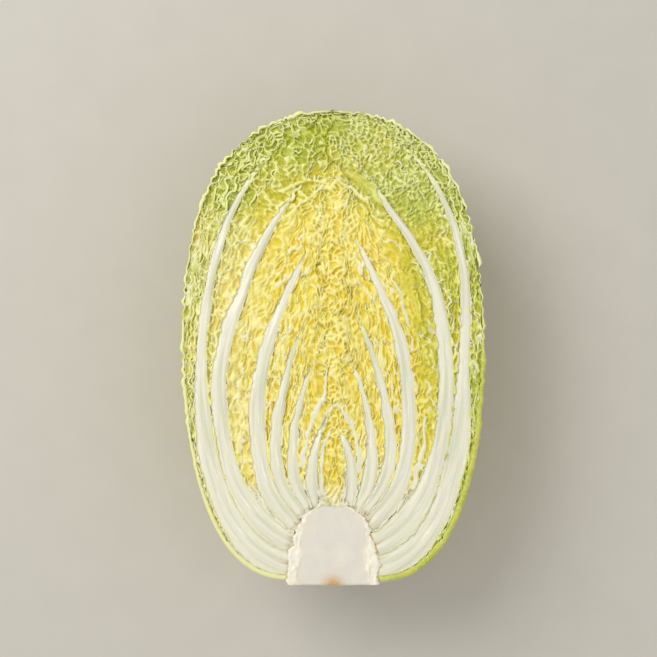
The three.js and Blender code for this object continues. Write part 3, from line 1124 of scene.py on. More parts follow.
    def _marks(self, patch: Patch, height: Array, streak: Array, shade: Array) -> dict[str, Array]:
        """What the finish reads on the sheet's top, with painted shade in the low places of its relief.

        Args:
            patch: the points.
            height: the relief, from 0 to 1.
            streak: how much each point lies on a pale side vein.
            shade: each fold's own shade.

        Returns:
            The values of each mark.
        """
        x, y, sizes = patch.x, patch.y, patch.sizes
        crown = crowning(sizes, y)
        veiled = crown * rise(x, -6, 8)
        topmost = rise(y, 114, 128) * (1 - rise(np.abs(x + 9 * MM), 12, 26))
        # Painted shade: lit is the relief height, lowered at the top of the head and on the right half, so
        # that low places and those regions get darker painted shade and dimmer pale rims.
        lit = height - 0.18 * topmost - 0.2 * rise(x, 24, 42) * (1 - crown) - 0.03
        milky = np.maximum(0.05 * veiled, 0.16 * rise(-x, 30, 62) * (1 - crown))
        paling = mix(15 * MM, 36 * MM, smooth(sizes, 0.25, 0.7))
        milky = np.maximum(milky, 0.88 * (1 - smooth(patch.run / paling, 0.75, 1.3)))
        rooted = 1 - smooth(y, BUD_FOOT, BUD_FOOT + 20 * MM)
        milky = np.maximum(milky, 0.6 * rooted * (1 - rise(np.abs(x), 8, 14)))
        tone = tone_at(sizes, y, x) + 0.1 * shade * crown + 0.12 * veiled + 0.2 * topmost
        return {
            "white": np.maximum(0.6 * streak, milky),
            "green": np.clip(tone, 0, 1.2),
            "rim": 0.9 * smooth(lit, 0.5, 0.86) * (1 - 0.3 * smooth(shade, 0.1, 0.8)),
            "deep": (1 - smooth(lit, 0.2, 0.72)) * (1 - 0.25 * veiled),
        }

    def _crumple(self, patch: Patch) -> tuple[Array, Array, Array]:
        """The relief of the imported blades: flakes beside the ribs, grains at the heart, curls at the crown.

        Args:
            patch: the points.

        Returns:
            The height from 0 to 1, how much each point lies on a pale side vein, and each fold's own shade.
        """
        x, y, run, over = patch.x, patch.y, patch.run, patch.over
        warp, near_x, near_y = Grain(33), x / (2 * MM), y / (2 * MM)
        bend_y = warp.over(x, y, 5.5, 6.5, 1.7) + 0.35 * warp.at(near_x + 90, near_y + 90)
        bend_x = warp.over(x, y, 5, 5.5, 8.2) + 0.35 * warp.at(near_x + 90, near_y + 190)
        long_y, long_x = run + 3.2 * MM * bend_y, over + 1.9 * MM * bend_x
        real_y, real_x = y + 2.6 * MM * bend_y + 1, x + 2.4 * MM * bend_x + 1
        inner, inner_shade = INNER_FLAKES.at(long_y, long_x)
        flaky, flaky_shade = OUTER_FLAKES.at(long_y, long_x)
        grainy, grainy_shade = HEART_GRAINS.at(real_y, real_x)
        curly, curly_shade = CURLS.at(real_y, real_x)
        broad, broad_shade = BROAD_CURLS.at(real_y, real_x)
        small, _ = CRUMBS.at(real_y, real_x)
        outer = smooth(patch.sizes, 0.55, 0.75)
        middle = 1 - rise(np.abs(x) + 3 * MM * bend_y, 11, 17)
        middle = middle * rise(y, -84, -60)
        crown = smooth(crowning(patch.sizes, y) + 0.3 * bend_x, 0.25, 0.6)
        loose = smooth(Grain(60).over(x, y, 14, 11) - x / (22 * MM), -0.25, 0.2)
        curly, curly_shade = mix(curly, broad, loose), mix(curly_shade, broad_shade, loose)
        height, shade = mix(inner, flaky, outer), mix(inner_shade, flaky_shade, outer)
        height, shade = mix(height, grainy, middle), mix(shade, grainy_shade, middle)
        height, shade = mix(height, curly, crown), mix(shade, curly_shade, crown)
        fine = Grain(51).at(run / (2.4 * MM), over / (0.9 * MM))
        swell = Grain(52).over(x, y, 9, 12, 5.5)
        height = 1.12 * height - 0.08 + 0.2 * (small - 0.55) * mix(1.0, 0.8, crown)
        height = height + 0.035 * fine + 0.14 * swell
        slant = (over - 0.26 * run) / (self.vein_gap_mm * MM) + 0.45 * bend_x
        sparse = Grain(56).at(run / (9 * MM), slant, 4.5) + 0.22 * rise(x, 28, 42)
        streak = 1 - rise(np.abs(slant - np.round(slant)) * self.vein_gap_mm * MM, 0.45, 0.95)
        streak = streak * smooth(sparse, 0.05, 0.3) * (1 - crown) * (1 - middle)
        height = mix(height, 0.92 + 0.1 * fine, streak)
        height, streak = self._creased(patch, bend_x, bend_y, height, streak)
        return np.clip(height, 0, 1.05), streak, shade

    def _creased(
        self, patch: Patch, bend_x: Array, bend_y: Array, height: Array, streak: Array
    ) -> tuple[Array, Array]:
        """Adds the broad folds, the hollows and the slivers of the smallest ribs to the relief.

        Args:
            patch: the points.
            bend_x: how far the folds wander across the head.
            bend_y: how far they wander along it.
            height: the relief, from 0 to 1.
            streak: how much each point lies on a pale side vein.

        Returns:
            The new height and streak.
        """
        x, y = patch.x, patch.y
        bent_x, bent_y = x + 1.6 * MM * bend_x, y + 1.6 * MM * bend_y
        for crease in FLAT_TOPS:
            pleats = Grain(62).over(crease.across(bent_x, y), x - y, 1.3, 16)
            pleated = crease.height + 0.24 * pleats + 0.1 * (height - 0.5)
            height = mix(height, pleated, crease.share(bent_x, bent_y))
        for crease in (*ARCHES, *HOLLOWS):
            height = mix(height, crease.height + 0.2 * (height - 0.5), crease.share(bent_x, bent_y))
        for crease in SLIVERS:
            share = crease.share(x + 0.4 * MM * bend_x, y)
            height, streak = mix(height, crease.height, share), np.maximum(streak, 1.5 * share)
        return height, streak


# ---- Leaf skins ----


@dataclass(frozen=True)
class Line:
    """A leaf's own line: the place along it of each row, its points there as (radius, y), and its length."""

    along: Array
    spine: Array
    length: float

    @property
    def run(self) -> Array:
        """Distance along the line, one value in each row."""
        return (self.along * self.length)[:, None]

    def crinkled(self, nest: Nest, crinkle: Crinkle, size: Array, depth: Array, free: Array) -> Array:
        """The middle of the leaf's thickness.

        Args:
            nest: the nest of leaf lines.
            crinkle: the waves of its blade.
            size: sizes in the nest.
            depth: distance below the cut face.
            free: 1 on the free blade, down to 0 on a rib and at both ends.

        Returns:
            Its points as (radius, y).
        """
        fade = mix(1.0, 0.6, rise(depth, 6, 22))
        across, lengthwise = crinkle.shift(self.run, depth, free * fade)
        across = across + crinkle.leaning(self.spine[:, None, :], depth) * free
        return nest.on_line(size, self.along[:, None] + lengthwise / self.length, across)


def near_columns(near: tuple[float, ...], reach: Array, most: Array) -> Array:
    """How many degrees round the head a leaf's columns near the cut lie, and at most so many."""
    return np.minimum(np.degrees(np.array(near)[None] / reach), most * np.linspace(0.2, 1, len(near))[None])


def sunken(run: Array, leaf: Leaf) -> Array:
    """How far a blade's rim stays below the cut along its run, by turns more and less.

    Args:
        run: distance along the leaf line.
        leaf: the leaf that the blade belongs to.

    Returns:
        One depth for each row.
    """
    grain = Grain(leaf.number + 100)
    turns = grain.at(run / (5 * MM), 1.5) + 0.6 * grain.at(run / (2.2 * MM), 4.5)
    return (1.9 + 1.3 * np.clip(turns, -0.7, 0.8)) * MM


def depth_marks(depth: Array) -> dict[str, Array]:
    """The pale rim of a blade at the cut, and painted shade that grows with depth below it."""
    return {"rim": np.exp(-depth / (0.5 * MM)), "deep": rise(depth, 0.6, 7)}


def over_cut(outer: Array, top: Array, inner: Array) -> Array:
    """Columns that go up a leaf's outer face, over its cut and down its inner face."""
    return beside(outer[:, 1:][:, ::-1], top, inner[:, 1:])


def there_and_back(columns: Array) -> Array:
    """Columns that go round a leaf's outer face and return over its inner one."""
    return beside(columns, columns[:, ::-1])


@dataclass
class SideLeaf:
    """A leaf whose midrib the knife went through: a white rib at the cut, and a blade that wraps inward."""

    nest: Nest
    plan: CutPlan
    leaf: Leaf
    side: Side
    step: float = 0.95 * MM
    tip: float = 0.975
    buried: float = 4.2 * MM
    near: tuple[float, ...] = (0.3 * MM, 0.9 * MM, 1.9 * MM, 3.4 * MM, 5.6 * MM, 8.6 * MM, 12.5 * MM)
    far: tuple[float, ...] = (0.12, 0.3, 0.52, 0.76, 1.0)
    face_columns: int = 17

    def _azimuth(self, turn: Values) -> Values:
        """The azimuth at an angle below the leaf's own half of the cut face."""
        return turn if self.side is Side.RIGHT else 180 - turn

    def skin(self) -> Skin:
        """The leaf's closed skin.

        Returns:
            Its rows from root to tip, each a ring: up the outer face, over the cut, and down the inner face.
        """
        nest, leaf, blade = self.nest, self.leaf, self.plan.blade_half
        length = float(nest.line_length(leaf.cut_size(self.side)))
        start = -self.buried / length
        along = np.linspace(start, self.tip, int((self.tip - start) * length / self.step))
        cut_size = leaf.cut_size(self.side, along)
        spine = nest.on_line(cut_size, along)
        line = Line(along, spine, length)
        spread = np.interp(along, *SPREAD)[:, None]
        near = near_columns(self.near, np.maximum(spine[:, :1], SHORTEST_REACH), spread * 0.9)
        far = mix(near[:, -1:], spread, np.array(self.far)[None])
        turn = beside(np.zeros((len(along), 1)), near, far)
        depth = np.radians(turn) * spine[:, :1]
        azimuth = self._azimuth(turn)
        settled = (cut_size - leaf.size_at(self._azimuth(0)))[:, None] * (1 - smooth(turn, 6, 50))
        size = leaf.size_at(azimuth) + settled
        _, out, into = self.plan.ribs[(leaf.node, self.side)]
        bulge = np.exp(-((turn / np.interp(along, *RIB_WIDTH)[:, None]) ** 2))
        outer = blade + (np.interp(along, self.plan.along, out)[:, None] - blade) * bulge
        inner = blade + (np.interp(along, self.plan.along, into)[:, None] - blade) * bulge
        ribbed = rise((outer + inner) / 2 - blade, 0.35, 1.5)
        free = (1 - ribbed) * smooth(along, 0.1, 0.3)[:, None] * smooth(1 - along, 0.02, 0.06)[:, None]
        centre = line.crinkled(nest, Crinkle(leaf.number * 13 + 3, height=1.1 * MM), size, depth, free)
        normal = outward_of(centre)
        shares = np.sin(np.linspace(math.pi / 2, -math.pi / 2, self.face_columns) * 0.86)[None]
        lateral = shares * (np.where(shares > 0, outer[:, :1], inner[:, :1]) - 0.25 * MM)
        face = centre[:, :1] + normal[:, :1] * lateral[..., None]
        top = nest.wrap(face, self._azimuth(np.zeros(lateral.shape)))
        top[..., 2] += self._relief(line.run, lateral, ribbed[:, :1])
        outward = nest.wrap(centre + normal * outer[..., None], azimuth)
        inward = nest.wrap(centre - normal * inner[..., None], azimuth)
        points = over_cut(outward, top, inward)
        ring_depth = over_cut(depth, np.zeros(lateral.shape), depth)
        lowered = rise(-line.run, 0.2, 1.6) * 1.2 * MM
        points[..., 2] -= lowered * np.exp(-ring_depth / (6 * MM))
        points[..., 2] -= sunken(line.run, leaf) * (1 - ribbed[:, :1]) * np.exp(-ring_depth / (5 * MM))
        edges = 1 - 0.3 * smooth(np.abs(shares), 0.6, 1.0)
        white = over_cut(ribbed, ribbed[:, :1] * edges, ribbed)
        tone = tone_at(size[:, :1], spine[:, 1:2], self.side.value * spine[:, :1])
        marks = {
            "white": white,
            "green": np.broadcast_to(tone, white.shape),
            **depth_marks(ring_depth),
            "stain": over_cut(0 * outer, 0.8 * self._seared(line.run, lateral), 0 * inner),
        }
        across = over_cut(outer + depth, lateral, -inner - depth)
        across = beside(across, across[:, -1:] * 1.02)
        return Skin(points, marks, side_by_side(line.run, across))

    def _seared(self, run: Array, lateral: Array) -> Array:
        """The tan specks where the leaf leaves the core.

        Args:
            run: distance along the leaf line.
            lateral: distance beside it.

        Returns:
            How tan each point is, from 0 to 1.
        """
        half = self.leaf.cut.half
        specks = Grain(79).at(lateral / (0.6 * MM), run / (9 * MM), half * 9000)
        reach = mix(1.0, 4.5, smooth(Grain(80).at(lateral / (2.3 * MM), half * 7000), -0.2, 0.7)) * MM
        return smooth(specks, 0.2, 0.7) * np.exp(-np.maximum(run, 0) / reach)

    def _relief(self, run: Array, lateral: Array, ribbed: Array) -> Array:
        """The cut rib is rounded, with soft ridges where its strands run.

        Args:
            run: distance along the leaf line.
            lateral: distance beside it.
            ribbed: 1 on a rib, and 0 on a blade.

        Returns:
            How far each point stands above the cut.
        """
        key = self.leaf.cut.half * 9000
        strands = Grain(17).at(run / (26 * MM), lateral / (1.9 * MM) + key, 3.3)
        swell = Grain(19).at(run / (17 * MM), lateral / (4.5 * MM) + key, 1.1)
        widest = np.maximum(np.abs(lateral).max(axis=1, keepdims=True), 0.5 * MM)
        edges = smooth(np.abs(lateral) / widest, 0.55, 1.0)
        return ribbed * (0.34 * MM * strands + 0.5 * MM * swell - 0.2 * MM - 0.5 * MM * edges)


@dataclass
class BackLeaf:
    """A leaf whose midrib lies behind the cut, so that only its two thin edges show."""

    nest: Nest
    plan: CutPlan
    leaf: Leaf
    step: float = 1.05 * MM
    tip: float = 0.972
    near: tuple[float, ...] = (0.3 * MM, 1.1 * MM, 2.6 * MM, 5.0 * MM, 9.0 * MM)
    middle: int = 11

    def skin(self) -> Skin:
        """The leaf's closed skin.

        Returns:
            Its rows from root to tip, each a ring: from its right edge over its back to its left, and inside.
        """
        nest, leaf = self.nest, self.leaf
        length = float(nest.line_length(leaf.back))
        along = np.linspace(0, self.tip, int(self.tip * length / self.step))
        spine = nest.on_line(np.full(along.shape, leaf.back), along)
        line = Line(along, spine, length)
        half_turn = np.maximum(90 * smooth(along, -0.02, 0.3), 46)[:, None]
        reach = np.maximum(spine[:, :1], SHORTEST_REACH)
        near = near_columns(self.near, reach, half_turn * 0.55)
        from_edge = beside(np.zeros((len(along), 1)), near)
        low, high = 90 - half_turn, 90 + half_turn
        shares = np.linspace(0, 1, self.middle + 2)[1:-1][None]
        behind = mix(low + near[:, -1:], high - near[:, -1:], shares)
        azimuth = beside(low + from_edge, behind, (high - from_edge)[:, ::-1])
        depth = np.radians(np.minimum(azimuth - low, high - azimuth)) * spine[:, :1]
        size = leaf.size_at(azimuth)
        away = (azimuth - leaf.rib) / np.interp(along, *RIB_WIDTH)[:, None]
        rib = leaf.rib_half * np.interp(along, *RIB_TAPER)[:, None] * np.exp(-(away**2))
        ribbed = rise(rib, 0.25, 1.3)
        free = (1 - ribbed) * smooth(along, 0.12, 0.34)[:, None] * smooth(1 - along, 0.03, 0.07)[:, None]
        centre = line.crinkled(nest, Crinkle(leaf.number * 13 + 5, height=1.15 * MM), size, depth, free)
        out = outward_of(centre) * (self.plan.blade_half + rib)[..., None]
        inward = nest.wrap(centre - out, azimuth)[:, ::-1]
        points = beside(nest.wrap(centre + out, azimuth), inward)
        ring_depth, white = there_and_back(depth), there_and_back(ribbed)
        points[..., 2] -= sunken(line.run, leaf) * (1 + 1.3 * white) * np.exp(-ring_depth / (5 * MM))
        sides = np.where(azimuth < 90, 1.0, -1.0)
        tone = tone_at(size, spine[:, 1:2], sides * spine[:, :1])
        marks = {"white": white, "green": there_and_back(tone), **depth_marks(ring_depth)}
        across = np.radians(azimuth) * reach
        across = beside(there_and_back(across), across[:, :1])
        return Skin(points, marks, side_by_side(line.run, across))


@dataclass(frozen=True)
class Face:
    """The outermost leaf's outer or inner face.

    along and run are the place and the distance along the leaf, with one value in each row. azimuth is the
    place round the head, and depth the distance from the nearer cut edge.
    """

    along: Array
    run: Array
    azimuth: Array
    depth: Array


@dataclass
class OuterLeaf:
    """The outermost leaf: a broad pale midrib and side veins on its green blistered back."""

    nest: Nest
    plan: CutPlan
    leaf: Leaf = OUTER
    step: float = 1.4 * MM
    tip: float = 0.992
    columns: tuple[tuple[int, int], ...] = ((0, 162), (1, 26))
    tone_size: float = 0.97
    thickest: float = 3.6 * MM
    veins: int = 17

    def skin(self) -> Skin:
        """The leaf's closed skin.

        Returns:
            Its rows from root to tip, each a ring: its back from right to left, and its inner face.
        """
        nest, leaf = self.nest, self.leaf
        length = float(nest.line_length(leaf.back))
        along = np.linspace(-1.0 * MM / length, self.tip, int(self.tip * length / self.step))
        spine = nest.on_line(np.full(along.shape, leaf.back), along)
        line = Line(along, spine, length)
        outer, inner = (self._face(line, *columns) for columns in self.columns)
        lift, white = self._back(outer)
        inner_lift = self._edge(inner) - self._inner_half(inner)
        back = nest.wrap(nest.on_line(leaf.size_at(outer.azimuth), outer.along, lift), outer.azimuth)
        front = nest.wrap(nest.on_line(leaf.size_at(inner.azimuth), inner.along, inner_lift), inner.azimuth)
        points = beside(back, front)
        points[..., 2] = np.maximum(points[..., 2], 0)
        y = spine[:, 1:2]
        x, inner_x = (np.cos(np.radians(face.azimuth)) * spine[:, :1] for face in (outer, inner))
        lime, inner_lime = self._lime_edge(outer), self._lime_edge(inner, 0.8)
        tone = np.maximum(self._tone(outer.along, x, y), lime)
        inner_tone = np.maximum(tone_at(self.tone_size, y, inner_x), inner_lime)
        # The inner face gets painted shade below its cut edge plus the darker green of the lime rind; the
        # outer face gets only the rind's.
        inner_deep = np.maximum(depth_marks(inner.depth)["deep"], 0.6 * inner_lime)
        rim = [self._pale_edge(face) * depth_marks(face.depth)["rim"] for face in (outer, inner)]
        marks = {
            "white": beside(white, self._pale_inside(inner)),
            "green": beside(tone, inner_tone),
            "rim": beside(*rim),
            "deep": beside(0.55 * lime, inner_deep),
        }
        reach = np.maximum(spine[:, :1], SHORTEST_REACH)
        across = beside(np.radians(outer.azimuth) * reach, np.radians(inner.azimuth) * reach, reach * 0)
        return Skin(points, marks, side_by_side(outer.run, across))

    def _face(self, line: Line, first: int, count: int) -> Face:
        """One face of the leaf, from one edge of the cut round the head to the other.

        Args:
            line: the leaf's own line.
            first: 0 to start at the right edge, and 1 at the left.
            count: how many columns of points it has.

        Returns:
            The face.
        """
        azimuth = np.broadcast_to(180 * np.linspace(first, 1 - first, count)[None], (len(line.spine), count))
        depth = np.radians(np.minimum(azimuth, 180 - azimuth)) * line.spine[:, :1]
        return Face(line.along[:, None], line.run, azimuth, depth)

    def _edge(self, face: Face) -> Array:
        """The waves of the leaf's two cut edges.

        Args:
            face: the outer or the inner face.

        Returns:
            How far each point is pushed outward.
        """
        along, depth, run = face.along, face.depth, face.run + np.where(face.azimuth < 90, 0.0, 50 * MM)
        free = smooth(along, 0.16, 0.4) * (1 - rise(depth, 8, 26)) * smooth(1 - along, 0.0, 0.06)
        across, _ = Crinkle(29, height=0.7 * MM, wave=8.5 * MM).shift(run, depth, free)
        ragged, _ = Crinkle(31, height=0.85 * MM, wave=5.2 * MM).shift(run, depth, free)
        return across + ragged * smooth(along, 0.55, 0.75) * (1 - rise(depth, 2, 9))

    def _pale_edge(self, face: Face) -> Array:
        """The cut edge is pale above, and lime green low on the right."""
        return np.where(face.azimuth < 90, 0.05 + 0.95 * smooth(face.along, 0.4, 0.62), 0.9)

    def _lime_edge(self, face: Face, left: float = 0.0) -> Array:
        """How much the cut edge shows as a lime green rind, low down.

        Args:
            face: the outer or the inner face.
            left: the share of it that the left edge has.

        Returns:
            Its strength, about 1 where it is full.
        """
        uneven = Grain(38).at(face.along * 40, face.depth / (3 * MM))
        low_down = 1 - smooth(face.along, 0.45, 0.62)
        full = (0.9 + 0.3 * uneven) * low_down * hump(face.depth, 12)
        return full * np.where(face.azimuth < 90, 1.0, left)

    def _pale_inside(self, face: Face) -> Array:
        """On the left, the leaf is a little paler inside its thin green skin."""
        low_down = 1 - smooth(face.along, 0.36, 0.55)
        return 0.22 * np.where(face.azimuth > 90, low_down, 0.0) * (1 - rise(face.depth, 1, 6))

    def _inner_half(self, face: Face) -> Array:
        """Half thickness towards the inside: stouter near the stem, and up against the first ribs at the cut.

        Args:
            face: the inner face.

        Returns:
            One half thickness for each point.
        """
        plain = 0.45 * MM + 0.5 * MM * (1 - smooth(face.along, 0.1, 0.42))
        flanks = [self.plan.ribs[(OUTER.node, side)][2] for side in Side]
        flanks = [np.interp(face.along, self.plan.along, flank) for flank in flanks]
        flank = np.where(face.azimuth < 90, *flanks)
        return mix(plain, np.maximum(plain, flank), 1 - rise(face.depth, 3, 16))

    def _back(self, face: Face) -> tuple[Array, Array]:
        """The relief of the leaf's back.

        Args:
            face: the outer face.

        Returns:
            How far the skin stands out from the leaf line, and how white it is.
        """
        along, run, azimuth = face.along, face.run, face.azimuth
        off = (azimuth - self.leaf.rib) / 90
        stalk_half = np.interp(along, (0, 0.1, 0.25, 0.5, 0.8, 1), (0.95, 0.62, 0.36, 0.17, 0.07, 0.03))
        stalk = np.exp(-((off / stalk_half) ** 4))
        keel_height = np.interp(along, (0, 0.15, 0.5, 1), (0.4, 2.4, 1.6, 0.3))
        keel = np.exp(-((off / (0.55 * stalk_half)) ** 2)) * keel_height * MM
        veins, vein_height = self._veins(along, off)
        grain = Grain(37)
        blister = grain.at(run / (6.5 * MM), azimuth / 4.6, 2.2)
        blister = blister + 0.5 * grain.at(run / (3.1 * MM), azimuth / 2.3, 9.1)
        puffed = smooth(along, 0.22, 0.5) * (1 - 0.85 * veins) * (1 - stalk) * smooth(1 - along, 0, 0.03)
        cord = 0.18 * MM * Grain(41).at(azimuth / 1.3, run / (60 * MM)) * (1 - smooth(along, 0.2, 0.5))
        rind = np.where(azimuth < 90, 1.5, 0.1) * MM
        rind = rind * np.interp(along, (0, 0.12, 0.4, 0.55), (0.8, 1, 0.8, 0))
        rind = rind * hump(face.depth, 14)
        lift = 0.5 * MM + keel + vein_height * (1 - 0.6 * stalk) + 1.15 * MM * blister * puffed + cord + rind
        lift = lift + self._edge(face)
        white = 0.95 * stalk * (1 - smooth(along, 0.55, 0.95)) + 0.62 * veins * (1 - 0.35 * along)
        return np.minimum(lift, self.thickest), np.clip(white, 0, 1)

    def _veins(self, along: Array, off: Array) -> tuple[Array, Array]:
        """Side veins that leave the midrib in turn and sweep towards the tip.

        Args:
            along: place along the leaf.
            off: distance from the midrib, 1 at the cut edges.

        Returns:
            How much each point lies on a vein, and how far the veins stand out.
        """
        mark, height = (np.zeros(np.broadcast(along, off).shape) for _ in range(2))
        for sign, order in itertools.product((-1, 1), range(self.veins)):
            out, upward = np.maximum(off * sign, 0), order / (self.veins - 1)
            main = order % 2 == 0
            turn = math.sin(order * 2.3 + 1.7 * sign)
            root = 0.03 + 0.052 * order + 0.014 * turn + 0.02 * (sign > 0)
            climb = mix(0.46, 0.26, upward) * (1 + 0.13 * math.sin(order * 1.3 + sign))
            line = root + climb * out**1.2 + 0.03 * Grain(43 + order).at(out * 3.4, sign * 3.0) * out
            width = mix(0.009, 0.0026, np.clip(out, 0, 1)) * mix(1.0, 0.6, upward) * (1.0 if main else 0.55)
            faint = 1.0 if main else 0.5 * smooth(out, 0.1, 0.3)
            uneven = 0.8 + 0.3 * Grain(39).at(out * 9, order * 1.7)
            near = np.exp(-(((along - line) / width) ** 2)) * (out > 0) * faint * uneven
            mark = np.maximum(mark, near * mix(0.9, 0.35, np.clip(out, 0, 1)))
            height = np.maximum(height, near * mix(1.2, 0.4, np.clip(out, 0, 1)) * MM)
        return mark, height

    def _tone(self, along: Array, x: Array, y: Array) -> Array:
        """The back is pale near the stem, and greener towards the tip."""
        patchy = Grain(53).at(x / (26 * MM), y / (32 * MM), 0.7)
        return np.clip(0.42 + 0.6 * smooth(along, 0.15, 0.85) + 0.14 * patchy, 0, 1.15)


# ---- The core and the bud ----


@dataclass
class Core:
    """The cut stem core: smooth and faintly see-through inside, torn and paler along both sides."""

    nest: Nest
    rows: int = 110
    across: int = 90
    under: int = 26
    dome: float = 0.62
    bulge: float = 1.2 * MM

    def skin(self) -> Skin:
        """The core's closed skin.

        Returns:
            Its rings from its foot to the top of its dome.
        """
        nest = self.nest
        turn = np.radians(90 * (1 - np.linspace(0, 1, self.rows) ** 0.85) + 0.3)[:, None]
        y = nest.core_length * np.cos(turn) - nest.length / 2
        half = nest.core_half * np.sin(turn) ** self.dome
        half = half + self.bulge * hump(y + nest.length / 2 - 15 * MM, 8)
        share = np.linspace(-1, 1, self.across)[None]
        grain, side = Grain(61), np.sign(share)
        jag = grain.at(y / (2.9 * MM), side * 4 + 9) + 0.5 * grain.at(y / (1.2 * MM), side + 3)
        jag = 1.2 * MM * jag
        x = half * share + jag * smooth(np.abs(share), 0.7, 1) * side * rise(half, 3, 14)
        inset = (1 - np.abs(share)) * half
        strip_width = mix(3.0, 7.0, rise(-y, 98, 128)) * MM
        strip_width = strip_width + 1.9 * MM * grain.at(y / (5.2 * MM), side * 2 + 5)
        strip_width = strip_width + 0.8 * MM * grain.at(y / (2.2 * MM), x / (2.0 * MM), 15)
        strip = 1 - rise(inset - strip_width, -1.4, 1.0)
        border = hump(inset - strip_width - 1 * MM, 2.2)
        torn = 0.65 * MM * grain.at(x / (1.3 * MM), y / (3.6 * MM), 6)
        torn = strip * (torn + 0.3 * MM * grain.at(x / (0.8 * MM), y / (1.4 * MM), 2))
        swell = 0.3 * MM * grain.at(x / (9 * MM), y / (11 * MM), 7) * (1 - strip)
        rounded = -0.8 * MM * smooth(1 - inset / (0.9 * MM), 0, 1)
        foot = -1.2 * MM * (1 - rise(y + nest.length / 2, 0, 1.2))
        raised = nest.cut_z + 0.35 * MM * strip + torn + swell + rounded + foot
        top = side_by_side(nest.axis_x + x, y + nest.shift_y, raised)
        azimuth = np.linspace(180, 0, self.under + 2)[1:-1][None] * np.ones((self.rows, 1))
        below = nest.wrap(side_by_side(half - 0.3 * MM, y), azimuth)[:, ::-1]
        marks = {
            "white": beside(strip, np.full(azimuth.shape, 0.6)),
            "stain": beside(self._stain(x, y, half, share), np.full(azimuth.shape, 0.15)),
            "green": np.zeros((self.rows, 1)),
            "rim": beside(border, np.zeros(azimuth.shape)),
            "deep": np.zeros((self.rows, 1)),
        }
        across = beside(x, np.radians(azimuth) * half + half, x[:, :1])
        return Skin(beside(top, below), marks, side_by_side(y, across))

    def _stain(self, x: Array, y: Array, half: Array, share: Array) -> Array:
        """Browning: a soft patch at the middle of the foot, one at its left, and spots along both edges.

        Args:
            x: place across the core.
            y: place along the head's axis.
            half: half the core's width.
            share: place across it, 1 at its right edge and -1 at its left.

        Returns:
            How brown each point is, from 0 to 1.
        """
        from_foot = y + self.nest.length / 2
        patch = 1.3 * hump(x, 5.5) * hump(from_foot, 5.5)
        left_patch = 0.5 * hump(x + 21 * MM, 3) * hump(from_foot, 3)
        spots = smooth(Grain(67).at(y / (2.1 * MM), np.sign(share) * 3 + 7), 0.15, 0.6)
        spots = spots * smooth(np.abs(share), 0.93, 0.99) * rise(half, 14, 22) * 0.9
        return np.clip(patch + left_patch + spots, 0, 1)


@dataclass
class Bud:
    """The folded leaflets at the heart of the head, right above the core."""

    nest: Nest
    rows: int = 60
    across: int = 26
    under: int = 16

    def skin(self) -> Skin:
        """The bud's closed skin, with upright pleats at the cut.

        Returns:
            Its rings from its foot to its top.
        """
        nest = self.nest
        along = np.linspace(-0.12, 0.97, self.rows)
        spot = nest.on_line(BUD.cut_size(Side.LEFT, along), along)
        share, half, y = np.linspace(-1, 1, self.across)[None], spot[:, :1] * 1.15, spot[:, 1:]
        x = half * share
        pleat = np.sin(share * 15 + Grain(71).at(y / (4 * MM), share * 2) * 2.2)
        lowered = 0.7 * MM * pleat - 3.4 * MM - 1.5 * MM * np.abs(share) ** 3
        lowered = lowered - 1.2 * MM * smooth(-along, 0.0, 0.06)[:, None]
        top = side_by_side(nest.axis_x + x, y + nest.shift_y, nest.cut_z + lowered)
        azimuth = np.linspace(180, 0, self.under + 2)[1:-1][None] * np.ones((self.rows, 1))
        below = nest.wrap(side_by_side(half, y), azimuth)[:, ::-1]
        marks = {
            "white": np.zeros((self.rows, 1)),
            "green": np.zeros((self.rows, 1)),
            # Painted shade fills the pleats' valleys, and the pale rim colour goes on their crests.
            "rim": beside(0.5 + 0.4 * pleat, np.zeros(azimuth.shape)),
            "deep": beside(0.5 - 0.5 * pleat, np.ones(azimuth.shape)),
        }
        across = beside(x, np.radians(azimuth) * half, x[:, :1])
        return Skin(beside(top, below), marks, side_by_side(y, across))


# ---- Finishes ----

Colour = tuple[float, float, float]
Feeds = dict[int | str, object]


